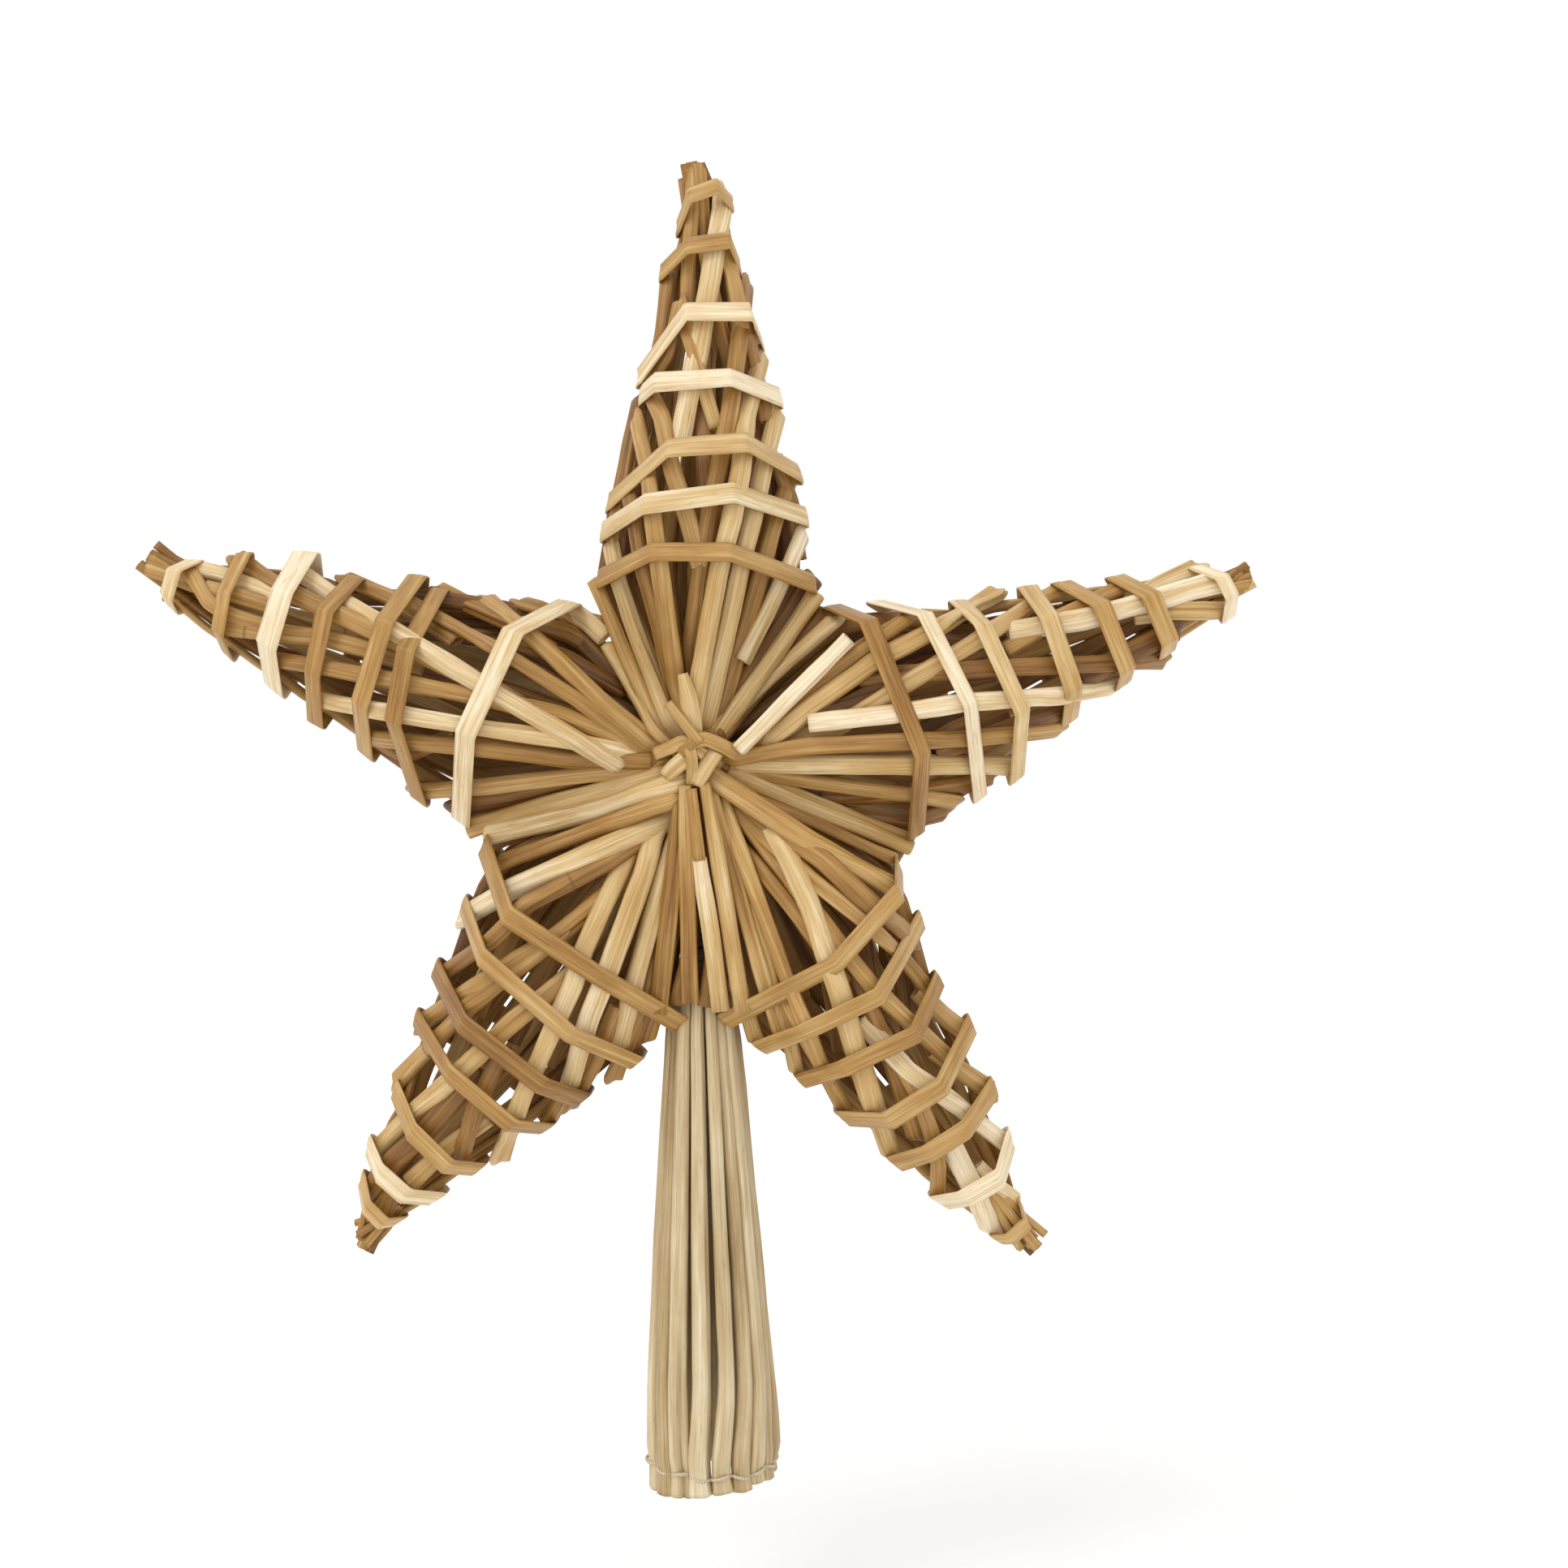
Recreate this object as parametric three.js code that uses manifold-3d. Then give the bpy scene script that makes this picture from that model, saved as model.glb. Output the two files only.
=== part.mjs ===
// A straw star that tops a tree: five hollow arms of bent straws, each held in shape by seven flat
// straw bands, tied at the centre, on a tapering socket of straws that slips over the tree's shoot.
// Lengths are in millimetres and angles in degrees. The star stands in the XZ plane and faces -Y.
// The origin is the middle of the socket's open mouth.

import * as THREE from "three";
import { mergeVertices } from "three/addons/utils/BufferGeometryUtils.js";
import Module from "manifold-3d";

const wasm = await Module();
wasm.setup();

// Free space between neighbouring pieces
const clearance = 0.3;
const fullTurn = 360;

// The star's front view. Arms and valleys are listed clockwise from the top, each by its direction
// from the star's centre and how far it reaches, as a share of the star's own reach. Each valley
// follows the arm of the same place.
const starReach = 130;
const starCentreX = -3.7;
const starCentreZ = 159;
const arms = [
  { name: "top", angle: 90.3, reach: 0.9985 * starReach },
  { name: "right", angle: 17.8, reach: 0.977 * starReach },
  { name: "lower_right", angle: -55.4, reach: 1.0108 * starReach },
  { name: "lower_left", angle: -124.3, reach: 0.9992 * starReach },
  { name: "left", angle: 160.3, reach: 0.9785 * starReach },
];
const valleys = [
  { angle: 50.5, reach: 0.3238 * starReach },
  { angle: -23.9, reach: 0.3831 * starReach },
  { angle: -88.3, reach: 0.4492 * starReach, holdsNeck: true },
  { angle: -160.3, reach: 0.4 * starReach },
  { angle: 124.2, reach: 0.3154 * starReach },
];
const bottomValley = valleys.find((valley) => valley.holdsNeck);

// How much of an arm's width and depth is gone at its tip, as a share of what its base has
const armTaper = 0.86;
// From the mid-plane to the front of the bands at an arm's base
const armHalfDepth = 22;
// The flat front of an arm, as a share of its width
const frontFacetShare = 0.43;
// How much further out the straws bend in front than at the arm's edges, a share of its length
const kneeLift = 0.052;
// How deep an arm's edges may lie, as a share of its front's depth
const edgeDepthLimit = 0.6;
// From the neck to the corners of the two arms beside it
const neckSpacing = 1.2;

// Straws of the arms
const strawRadius = 2.1;
const strawTaper = 0.5;
const strawSides = 5;
const strawsPerSide = 8;
// Where the straws start round the centre, and how far in front of the mid-plane
const innerStart = 7;
const outerStart = 14;
const startDepth = 8;
const startRadius = 1.1;
// Straws crowd together near the centre, so they start nearer the arm's axis than they end
const startSpread = 0.95;
// Every other straw ends short of the tip, under the bands. How much the cut ends vary, and how far
// they stray sideways, as shares.
const shortEnd = 0.85;
const endVariation = 0.012;
const endStray = 0.04;

// Bands, given where each crosses the arm's front and its two edges, as shares of the arm's length
// from its base. The first edge is on the side towards the arm before, going clockwise.
const bandWidth = 4;
const bandThickness = 0.8;
const bandShares = {
  top: [
    [0.11, 0.055, 0.055],
    [0.225, 0.158, 0.195],
    [0.35, 0.235, 0.3],
    [0.5, 0.445, 0.465],
    [0.65, 0.53, 0.6],
    [0.81, 0.745, 0.765],
    [0.93, 0.86, 0.915],
  ],
  right: [
    [0.1, 0.045, 0.045],
    [0.24, 0.14, 0.191],
    [0.355, 0.32, 0.308],
    [0.5, 0.47, 0.455],
    [0.635, 0.569, 0.61],
    [0.75, 0.688, 0.746],
    [0.92, 0.882, 0.91],
  ],
  lower_right: [
    [0.065, 0.04, 0.03],
    [0.185, 0.168, 0.125],
    [0.32, 0.307, 0.25],
    [0.48, 0.45, 0.388],
    [0.615, 0.6, 0.55],
    [0.77, 0.747, 0.72],
    [0.925, 0.89, 0.905],
  ],
  lower_left: [
    [0.065, 0.03, 0.04],
    [0.215, 0.148, 0.15],
    [0.35, 0.318, 0.325],
    [0.495, 0.44, 0.457],
    [0.68, 0.637, 0.637],
    [0.81, 0.771, 0.79],
    [0.905, 0.886, 0.88],
  ],
  left: [
    [0.11, 0.045, 0.05],
    [0.3, 0.151, 0.32],
    [0.39, 0.265, 0.4],
    [0.52, 0.455, 0.526],
    [0.65, 0.582, 0.66],
    [0.765, 0.719, 0.79],
    [0.905, 0.885, 0.898],
  ],
};

// The socket: straws side by side in a cone, drawn in at a shoulder to a neck between the two
// lower arms
const socketStraws = 18;
const strawsPerSector = 3;
const mouthRadius = 14.25;
const shoulderRadius = 8;
const shoulderStrawRadius = 1.35;
const neckRadius = 3.3;
const neckStrawRadius = 1.1;
// The shoulder lies under the valley that holds the neck, and the neck starts above the shoulder
const shoulderDrop = 4.6;
const shoulderSlope = 4;
const neckLength = 22;
const shoulderHeight = starCentreZ - bottomValley.reach - shoulderDrop;
const neckHeight = shoulderHeight + shoulderSlope;
const neckTop = neckHeight + neckLength;
// The lashing wound round the middle of the neck
const lashingThickness = 0.9;
const lashingTurns = 4;
const lashingPitch = 3.2;
const lashingSides = 8;
// The thread that is stitched round the mouth
const threadRadius = 0.4;
const threadHeight = 5;

// The tie at the middle of the star, in front and behind
const knotRadius = 5.5;
const knotHalfDepth = 3.2;
const tieRadius = 1.2;
const tieHalfSpan = 9;
// The loose straws that hang from the tie over the neck. They are gathered at the top, to a share of
// their pitch, and end a little above the neck's start.
const hangingStrawCount = 3;
const hangingPitch = 4.6;
const hangingGather = 0.25;
const hangingEndRise = 3;

const golden = { color: 0xd8b673, roughness: 0.55, metalness: 0 };
const pale = { color: 0xe6d5a4, roughness: 0.5, metalness: 0 };
const brown = { color: 0xc29a5b, roughness: 0.6, metalness: 0 };
const thread = { color: 0xf1ece0, roughness: 0.8, metalness: 0 };

const star = new THREE.Group();

function addPiece(name, geometry, look) {
  const mesh = new THREE.Mesh(geometry, new THREE.MeshStandardMaterial(look));
  mesh.name = name;
  star.add(mesh);
}

// The same small swing, between -1 and 1, each time it is asked for by the same two numbers
function swing(first, second) {
  const value = Math.sin(first * 12.9898 + second * 78.233) * 43758.5453;
  return 2 * (value - Math.floor(value)) - 1;
}

function solidFrom(geometry) {
  const bare = geometry.clone();
  bare.deleteAttribute("normal");
  bare.deleteAttribute("uv");
  const merged = mergeVertices(bare, 1e-4);
  return new wasm.Manifold(
    new wasm.Mesh({
      numProp: 3,
      vertProperties: merged.getAttribute("position").array,
      triVerts: new Uint32Array(merged.index.array),
    }),
  );
}

function geometryFrom(solid) {
  const mesh = solid.getMesh();
  const geometry = new THREE.BufferGeometry();
  geometry.setAttribute("position", new THREE.BufferAttribute(mesh.vertProperties, 3));
  geometry.setIndex(new THREE.BufferAttribute(mesh.triVerts, 1));
  geometry.computeVertexNormals();
  return geometry;
}

function fused(geometries) {
  return geometries.map(solidFrom).reduce((whole, piece) => whole.add(piece));
}

// A straw through the given points, as thick at each as its radius says. The first and last
// sections are cut square, and the ones between are mitred.
function straw(points, radii) {
  const rows = points.length - 1;
  const geometry = new THREE.CylinderGeometry(1, 1, rows, strawSides, rows);
  const frames = points.map((point, i) => {
    const before = points[Math.max(i - 1, 0)];
    const after = points[Math.min(i + 1, rows)];
    const back = new THREE.Vector3().subVectors(before, after).normalize();
    const side = new THREE.Vector3(0, 1, 0).cross(back).normalize();
    return { point, side, out: new THREE.Vector3().crossVectors(side, back), radius: radii[i] };
  });
  const position = geometry.getAttribute("position");
  for (let i = 0; i < position.count; i++) {
    const frame = frames[Math.round(rows / 2 - position.getY(i))];
    const place = frame.point.clone();
    place.addScaledVector(frame.side, position.getX(i) * frame.radius);
    place.addScaledVector(frame.out, position.getZ(i) * frame.radius);
    position.setXYZ(i, place.x, place.y, place.z);
  }
  return geometry;
}

const direction = (angle) => {
  const turn = THREE.MathUtils.degToRad(angle);
  return new THREE.Vector3(Math.cos(turn), 0, Math.sin(turn));
};
const centre = new THREE.Vector3(starCentreX, 0, starCentreZ);
const lashingHole = (neckRadius + clearance) / Math.cos(Math.PI / lashingSides);
const lashingRadius = lashingHole + lashingThickness;
const placeAt = ({ angle, reach }) => centre.clone().addScaledVector(direction(angle), reach);

// The socket leans a little, so that its axis runs from the mouth to the star's centre
const socketAxisX = (height) => (starCentreX * height) / starCentreZ;

// An arm's own frame: its base lies between two valleys and its axis runs from the middle of the
// base to the tip. The lower arms keep clear of the neck, which stands in the bottom valley.
function armFrame(arm, index) {
  const before = (index + valleys.length - 1) % valleys.length;
  const neckRoom = neckRadius + neckSpacing;
  const besideNeck = (valley, side) => {
    const corner = placeAt(valley);
    if (valley.holdsNeck) corner.x = socketAxisX(corner.z) + side * neckRoom;
    return corner;
  };
  const start = besideNeck(valleys[before], -1);
  const end = besideNeck(valleys[index], 1);
  const base = start.clone().add(end).multiplyScalar(0.5);
  const tip = placeAt(arm);
  return {
    base,
    axis: new THREE.Vector3().subVectors(tip, base),
    side: new THREE.Vector3().subVectors(end, start).normalize(),
    halfWidth: start.distanceTo(end) / 2,
    edgeDepths: [before, index].map((place) =>
      valleys[place].holdsNeck ? lashingRadius + clearance + strawRadius : strawRadius + clearance,
    ),
    bounds: [valleys[before].angle, valleys[index].angle],
  };
}

const radiusAt = (share) => strawRadius * (1 - strawTaper * Math.max(share, 0));

// The corners of an arm's front half at a share of its length, from edge to edge, as pairs of
// across and depth: where the straws' middles lie, moved outwards by the given distance
function frontCorners(frame, share, outwards) {
  const left = 1 - armTaper * share;
  const inset = radiusAt(share) + clearance + bandThickness;
  const width = frame.halfWidth * left - inset;
  const depth = armHalfDepth * left - inset;
  const [first, last] = frame.edgeDepths.map((edge) => Math.min(edge * left, edgeDepthLimit * depth));
  const corners = [
    new THREE.Vector2(-width, first),
    new THREE.Vector2(-width * frontFacetShare, depth),
    new THREE.Vector2(width * frontFacetShare, depth),
    new THREE.Vector2(width, last),
  ];
  if (!outwards) return corners;
  const around = [new THREE.Vector2(-width, -first), ...corners, new THREE.Vector2(width, -last)];
  return corners.map((corner, i) => {
    const normals = [around[i], around[i + 1]].map((from, k) => {
      const along = new THREE.Vector2().subVectors(around[i + 1 + k], from).normalize();
      return new THREE.Vector2(-along.y, along.x);
    });
    const middle = normals[0].clone().add(normals[1]).normalize();
    return corner.clone().addScaledVector(middle, outwards / middle.dot(normals[0]));
  });
}

// A point of an arm from its share of the length, its place across and its depth, with the front
// at depth above nought
function armPoint(frame, share, across, depth) {
  const place = frame.base.clone().addScaledVector(frame.axis, share).addScaledVector(frame.side, across);
  place.y = -depth;
  return place;
}

// A point between the front corners, at a share of the way round them
function alongFront(frame, share, way) {
  const corners = frontCorners(frame, share, 0);
  const steps = corners.slice(1).map((corner, i) => corner.distanceTo(corners[i]));
  const total = steps.reduce((sum, step) => sum + step);
  let rest = Math.min(Math.max(way, 0), 1) * total;
  let at = 0;
  while (at < steps.length - 1 && rest > steps[at]) {
    rest -= steps[at];
    at += 1;
  }
  return corners[at].clone().lerp(corners[at + 1], rest / steps[at]);
}

// The front or back straws of an arm, fused where they crowd together, and cut off along the
// valleys on either side and along the mid-plane
function armStraws(frame, facing, seed) {
  const pieces = [];
  for (let i = 0; i < strawsPerSide; i++) {
    const way = i / (strawsPerSide - 1);
    const share = (kneeLift * alongFront(frame, 0, way).y) / armHalfDepth;
    const kneeSpot = alongFront(frame, share, way);
    const knee = armPoint(frame, share, kneeSpot.x, kneeSpot.y * facing);
    const [from, to] = frame.bounds;
    const middle = (from + to + (from < to ? fullTurn : 0)) / 2;
    const towards = THREE.MathUtils.radToDeg(Math.atan2(knee.z - centre.z, knee.x - centre.x));
    const turn = THREE.MathUtils.euclideanModulo(towards - middle + fullTurn / 2, fullTurn) - fullTurn / 2;
    const reach = i % 2 ? outerStart : innerStart;
    const begin = placeAt({ angle: middle + startSpread * turn, reach });
    begin.y = -startDepth * facing;
    const endShare = (i % 2 ? shortEnd : 1) + endVariation * swing(seed, i);
    const endSpot = alongFront(frame, endShare, way + endStray * swing(i, seed));
    const end = armPoint(frame, endShare, endSpot.x, endSpot.y * facing);
    pieces.push(straw([begin, knee, end], [startRadius, strawRadius, radiusAt(endShare)]));
  }
  return fused(pieces).intersect(solidFrom(sectorPrism(frame.bounds, facing)));
}

// The space of one arm, between the lines from the centre through its two valleys, on one side of
// the mid-plane
function sectorPrism([from, to], facing) {
  const farAway = 400;
  const opening = THREE.MathUtils.euclideanModulo(from - to, fullTurn);
  const shift = clearance / 2 / Math.sin(THREE.MathUtils.degToRad(opening / 2));
  const apex = centre.clone().addScaledVector(direction(to + opening / 2), shift);
  const away = [to, from].map((angle) => apex.clone().addScaledVector(direction(angle), farAway));
  const shape = new THREE.Shape([apex, ...away].map((place) => new THREE.Vector2(place.x, place.z)));
  const prism = new THREE.ExtrudeGeometry(shape, { depth: farAway, bevelEnabled: false });
  prism.rotateX(Math.PI / 2);
  prism.translate(0, facing > 0 ? -clearance / 2 : farAway + clearance / 2, 0);
  return prism;
}

// A flat straw wound once round an arm: a ring of eight corners, which crosses the front and the
// back at one share of the arm's length and the two edges at others
function band(frame, [frontShare, firstShare, lastShare]) {
  const cornerCount = 8;
  const section = [[1, -1], [2, -1], [2, 1], [1, 1], [1, -1]];
  const profile = section.map(([layer, edge]) => new THREE.Vector2(layer, edge));
  const ring = new THREE.LatheGeometry(profile, cornerCount);
  const halfBand = bandWidth / 2 / frame.axis.length();
  const position = ring.getAttribute("position");
  const points = profile.length;
  for (let i = 0; i < position.count; i++) {
    const corner = Math.floor(i / points) % cornerCount;
    const { x: layer, y: edge } = profile[i % points];
    const onBack = corner >= cornerCount / 2;
    const place = onBack ? cornerCount - 1 - corner : corner;
    const outwards = (share) => radiusAt(share) + clearance + (layer > 1 ? bandThickness : 0);
    const tilt = (lastShare - firstShare) * frontFacetShare / 2;
    const share = [firstShare, frontShare - tilt, frontShare + tilt, lastShare][place] + edge * halfBand;
    const spot = frontCorners(frame, share, outwards(share))[place];
    const { x, y, z } = armPoint(frame, share, spot.x, onBack ? -spot.y : spot.y);
    position.setXYZ(i, x, y, z);
  }
  return ring;
}

arms.forEach((arm, index) => {
  const frame = armFrame(arm, index);
  addPiece(`${arm.name}_arm_front_straws`, geometryFrom(armStraws(frame, 1, index)), golden);
  addPiece(`${arm.name}_arm_back_straws`, geometryFrom(armStraws(frame, -1, index + arms.length)), brown);
  bandShares[arm.name].forEach((shares, i) => {
    addPiece(`${arm.name}_arm_band_${i + 1}`, geometryFrom(solidFrom(band(frame, shares))), pale);
  });
});

// How far the straws' faces stand from the mid-plane, at a distance from the star's centre
function faceDepth(distance) {
  const kneeReach = valleys[0].reach;
  const share = (distance - innerStart) / (kneeReach - innerStart);
  return THREE.MathUtils.lerp(startDepth + startRadius, armHalfDepth, Math.max(share, 0));
}

// A tie: a knot between the ends of the straws, with a strip that leaves it on either side
function centreTie(facing) {
  const knot = new THREE.SphereGeometry(1, 8, 5);
  knot.scale(knotRadius, knotHalfDepth, knotRadius);
  knot.translate(centre.x, -facing * startDepth, centre.z);
  const endDepth = faceDepth(tieHalfSpan) + clearance + tieRadius;
  const middle = new THREE.Vector3(centre.x, -facing * startDepth, centre.z + tieRadius);
  const ends = [fullTurn / 2, 0].map((angle) => {
    const end = placeAt({ angle, reach: tieHalfSpan });
    end.y = -facing * endDepth;
    return end;
  });
  const strips = ends.map((end) => {
    const rise = middle.clone().lerp(end, knotRadius / tieHalfSpan / 2);
    rise.y = end.y;
    return straw([middle, rise, end], [tieRadius, tieRadius, tieRadius]);
  });
  return geometryFrom(fused([knot, ...strips]));
}

// Straws that hang side by side from the tie and cover the neck
function hangingStraws(facing) {
  const straws = [];
  const depth = startDepth + startRadius + clearance + strawRadius;
  const endHeight = neckHeight + hangingEndRise;
  for (let i = 0; i < hangingStrawCount; i++) {
    const across = (i - (hangingStrawCount - 1) / 2) * hangingPitch;
    const gathered = across * hangingGather;
    const begin = new THREE.Vector3(centre.x + gathered, -facing * depth, centre.z - outerStart);
    const end = new THREE.Vector3(socketAxisX(endHeight) + across, -facing * depth, endHeight);
    straws.push(straw([begin, end], [startRadius, strawRadius]));
  }
  return geometryFrom(fused(straws));
}

[["front", 1], ["back", -1]].forEach(([name, facing]) => {
  addPiece(`${name}_centre_tie`, centreTie(facing), pale);
  addPiece(`${name}_hanging_straws`, hangingStraws(facing), golden);
});

// The socket's straws in sectors of three, each cut flat at the mouth. The middle one of each sector
// runs on into the neck.
const sectorNames = ["right", "back_right", "back_left", "left", "front_left", "front_right"];
const sectorAngle = (fullTurn * strawsPerSector) / socketStraws;

function socketStraw(angle, reachesNeck) {
  const stations = [
    [-strawRadius, mouthRadius - strawRadius, strawRadius],
    [shoulderHeight, shoulderRadius - shoulderStrawRadius, shoulderStrawRadius],
  ];
  if (reachesNeck) {
    stations.push([neckHeight, neckRadius - neckStrawRadius, neckStrawRadius]);
    stations.push([neckTop, neckRadius - neckStrawRadius, neckStrawRadius]);
  }
  const points = stations.map(([height, distance]) => {
    const turn = THREE.MathUtils.degToRad(angle);
    return new THREE.Vector3(
      socketAxisX(height) + distance * Math.cos(turn),
      distance * Math.sin(turn),
      height,
    );
  });
  return straw(points, stations.map((station) => station[2]));
}

// The space of one sector of the socket, above the mouth
function socketSector(angle) {
  const farAway = 60;
  const half = THREE.MathUtils.degToRad(sectorAngle / 2);
  const turn = THREE.MathUtils.degToRad(angle);
  const shift = clearance / 2 / Math.sin(half);
  const apex = new THREE.Vector2(shift * Math.cos(turn), shift * Math.sin(turn));
  const corner = (side) => {
    const edge = turn + side * half;
    return new THREE.Vector2(Math.cos(edge), Math.sin(edge)).multiplyScalar(farAway).add(apex);
  };
  const wedge = new THREE.ExtrudeGeometry(new THREE.Shape([apex, corner(-1), corner(1)]), {
    depth: starCentreZ,
    bevelEnabled: false,
  });
  const position = wedge.getAttribute("position");
  for (let i = 0; i < position.count; i++) {
    position.setX(i, position.getX(i) + socketAxisX(position.getZ(i)));
  }
  return wedge;
}

sectorNames.forEach((name, sector) => {
  const straws = [];
  for (let i = 0; i < strawsPerSector; i++) {
    const place = i - (strawsPerSector - 1) / 2;
    straws.push(socketStraw(sector * sectorAngle + (place * fullTurn) / socketStraws, place === 0));
  }
  const piece = fused(straws).intersect(solidFrom(socketSector(sector * sectorAngle)));
  addPiece(`socket_straws_${name}`, geometryFrom(piece), golden);
});

// The lashing: turns of straw wound tightly round the neck
function lashing() {
  const lashingBottom = neckHeight + (neckLength - lashingTurns * lashingPitch) / 2;
  const profile = [new THREE.Vector2(lashingHole, lashingBottom)];
  for (let turn = 0; turn < lashingTurns; turn++) {
    const bottom = lashingBottom + turn * lashingPitch;
    profile.push(new THREE.Vector2(lashingRadius - lashingThickness / 2, bottom));
    profile.push(new THREE.Vector2(lashingRadius, bottom + lashingPitch / 2));
  }
  const top = lashingBottom + lashingTurns * lashingPitch;
  profile.push(new THREE.Vector2(lashingRadius - lashingThickness / 2, top));
  profile.push(new THREE.Vector2(lashingHole, top));
  profile.push(profile[0].clone());
  const ring = new THREE.LatheGeometry(profile, lashingSides);
  ring.rotateX(Math.PI / 2);
  ring.translate(socketAxisX((lashingBottom + top) / 2), 0, 0);
  return ring;
}

addPiece("neck_lashing", lashing(), brown);

// The thread round the mouth
const threadTurn = mouthRadius - ((mouthRadius - shoulderRadius) * threadHeight) / shoulderHeight;
const loopRadius = threadTurn + clearance + threadRadius;
const loop = new THREE.TorusGeometry(loopRadius, threadRadius, 4, socketStraws * 2);
loop.translate(socketAxisX(threadHeight), 0, threadHeight);
addPiece("mouth_stitching", loop, thread);

export default star;
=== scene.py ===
import math
import random

import bpy
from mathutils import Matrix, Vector, noise


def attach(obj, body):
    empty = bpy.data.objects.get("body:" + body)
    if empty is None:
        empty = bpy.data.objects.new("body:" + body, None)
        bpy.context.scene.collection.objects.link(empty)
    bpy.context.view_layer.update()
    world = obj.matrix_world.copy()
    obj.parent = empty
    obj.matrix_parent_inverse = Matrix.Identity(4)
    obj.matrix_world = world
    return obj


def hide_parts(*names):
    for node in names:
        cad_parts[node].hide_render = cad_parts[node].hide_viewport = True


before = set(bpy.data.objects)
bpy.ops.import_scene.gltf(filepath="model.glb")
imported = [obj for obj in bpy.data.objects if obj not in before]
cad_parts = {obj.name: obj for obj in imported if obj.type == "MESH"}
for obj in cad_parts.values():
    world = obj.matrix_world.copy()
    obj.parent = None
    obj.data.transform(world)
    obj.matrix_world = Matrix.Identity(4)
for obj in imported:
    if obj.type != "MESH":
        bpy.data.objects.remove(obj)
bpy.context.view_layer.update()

# A straw star for the top of a tree: five hollow arms of bent straws held by flat straw bands,
# tied at the centre, on a tapering socket of straws. It stands in the XZ plane and faces -Y.

mm = 0.001


# How the picture was taken. Places read from it are pixels of its 1932 x 1932 frame.
picture = {
    "pixelsPerMm": 5.6,
    "mouthPixel": (878, 1822),       # middle of the socket's mouth
    "middlePixel": (966, 966),
    "cameraDistance": 500 * mm,      # to the star's mid-plane
    "frameSide": 1932,
    "sensor": 36,
}

cameraX = (picture["middlePixel"][0] - picture["mouthPixel"][0]) / picture["pixelsPerMm"] * mm
cameraZ = (picture["mouthPixel"][1] - picture["middlePixel"][1]) / picture["pixelsPerMm"] * mm


def fromPicture(pixel, depth=0.0):
    # the point seen at a pixel, at a depth in front of the mid-plane
    reach = (picture["cameraDistance"] - depth) / picture["cameraDistance"]
    perPixel = mm / picture["pixelsPerMm"] * reach
    x = cameraX + (pixel[0] - picture["middlePixel"][0]) * perPixel
    z = cameraZ - (pixel[1] - picture["middlePixel"][1]) * perPixel
    return Vector((x, -depth, z))


def swing(*keys):
    # the same number between -1 and 1 for the same keys
    return random.Random("/".join(str(key) for key in keys)).uniform(-1, 1)


def mix(a, b, share):
    return a + (b - a) * share


# Materials

def hexColor(text):
    # sRGB hex to linear, with alpha
    values = [int(text[i:i + 2], 16) / 255 for i in (0, 2, 4)]
    return tuple(v / 12.92 if v <= 0.04045 else ((v + 0.055) / 1.055) ** 2.4 for v in values) + (1,)


def addNode(tree, kind, settings=None, inputs=None, links=None):
    node = tree.nodes.new(kind)
    for key, value in (settings or {}).items():
        setattr(node, key, value)
    for key, value in (inputs or {}).items():
        node.inputs[key].default_value = value
    for key, source in (links or {}).items():
        tree.links.new(source, node.inputs[key])
    return node


def newMaterial(name):
    material = bpy.data.materials.new(name)
    material.use_nodes = True
    material.node_tree.nodes.clear()
    return material, material.node_tree


def setRamp(node, stops):
    ramp = node.color_ramp
    while len(ramp.elements) < len(stops):
        ramp.elements.new(0.5)
    for element, (place, color) in zip(ramp.elements, stops):
        element.position = place
        element.color = color


strawLook = {
    "fibreWidth": 0.22 * mm,        # the fine ribs that run along a stalk
    "fibreLength": 14 * mm,
    "fibrePush": 0.5,               # how far each kind of grain pushes the tone
    "streakWidth": 0.9 * mm,        # broader streaks of colour
    "streakLength": 45 * mm,
    "streakPush": 0.5,
    "patchWidth": 6 * mm,           # where a stalk has weathered
    "patchLength": 22 * mm,
    "patchPush": 0.36,
    "grainRoughness": 0.6,
    "fleckWidth": 0.5 * mm,         # short dark flecks in the skin
    "fleckLength": 5 * mm,
    "fleckStart": 0.63,             # the noise's value where a fleck starts, and where it is full
    "fleckFull": 0.72,
    "fleckShare": 0.35,
    "fleckColor": "8A6135",
    "nodeSpacing": 480 * mm,        # from one node of a stalk to the next
    "nodeWidth": 0.5 * mm,
    "nodeShare": 0.75,
    "nodeColor": "6B4520",
    "smoother": 0.1,                # how far the roughness falls and rises from streak to streak
    "rougher": 0.14,
    "ribStrength": 0.45,
    "ribDepth": 0.12 * mm,
    "ior": 1.5,
}
# from the darkest to the palest, at even steps
strawTones = ("371A00", "5F3709", "8B5F22", "B18746", "CFB079", "EFDFC0")
greyedTones = ("3A2510", "65492B", "8F7349", "B2986C", "CDBA94", "E6DCC4")


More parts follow.
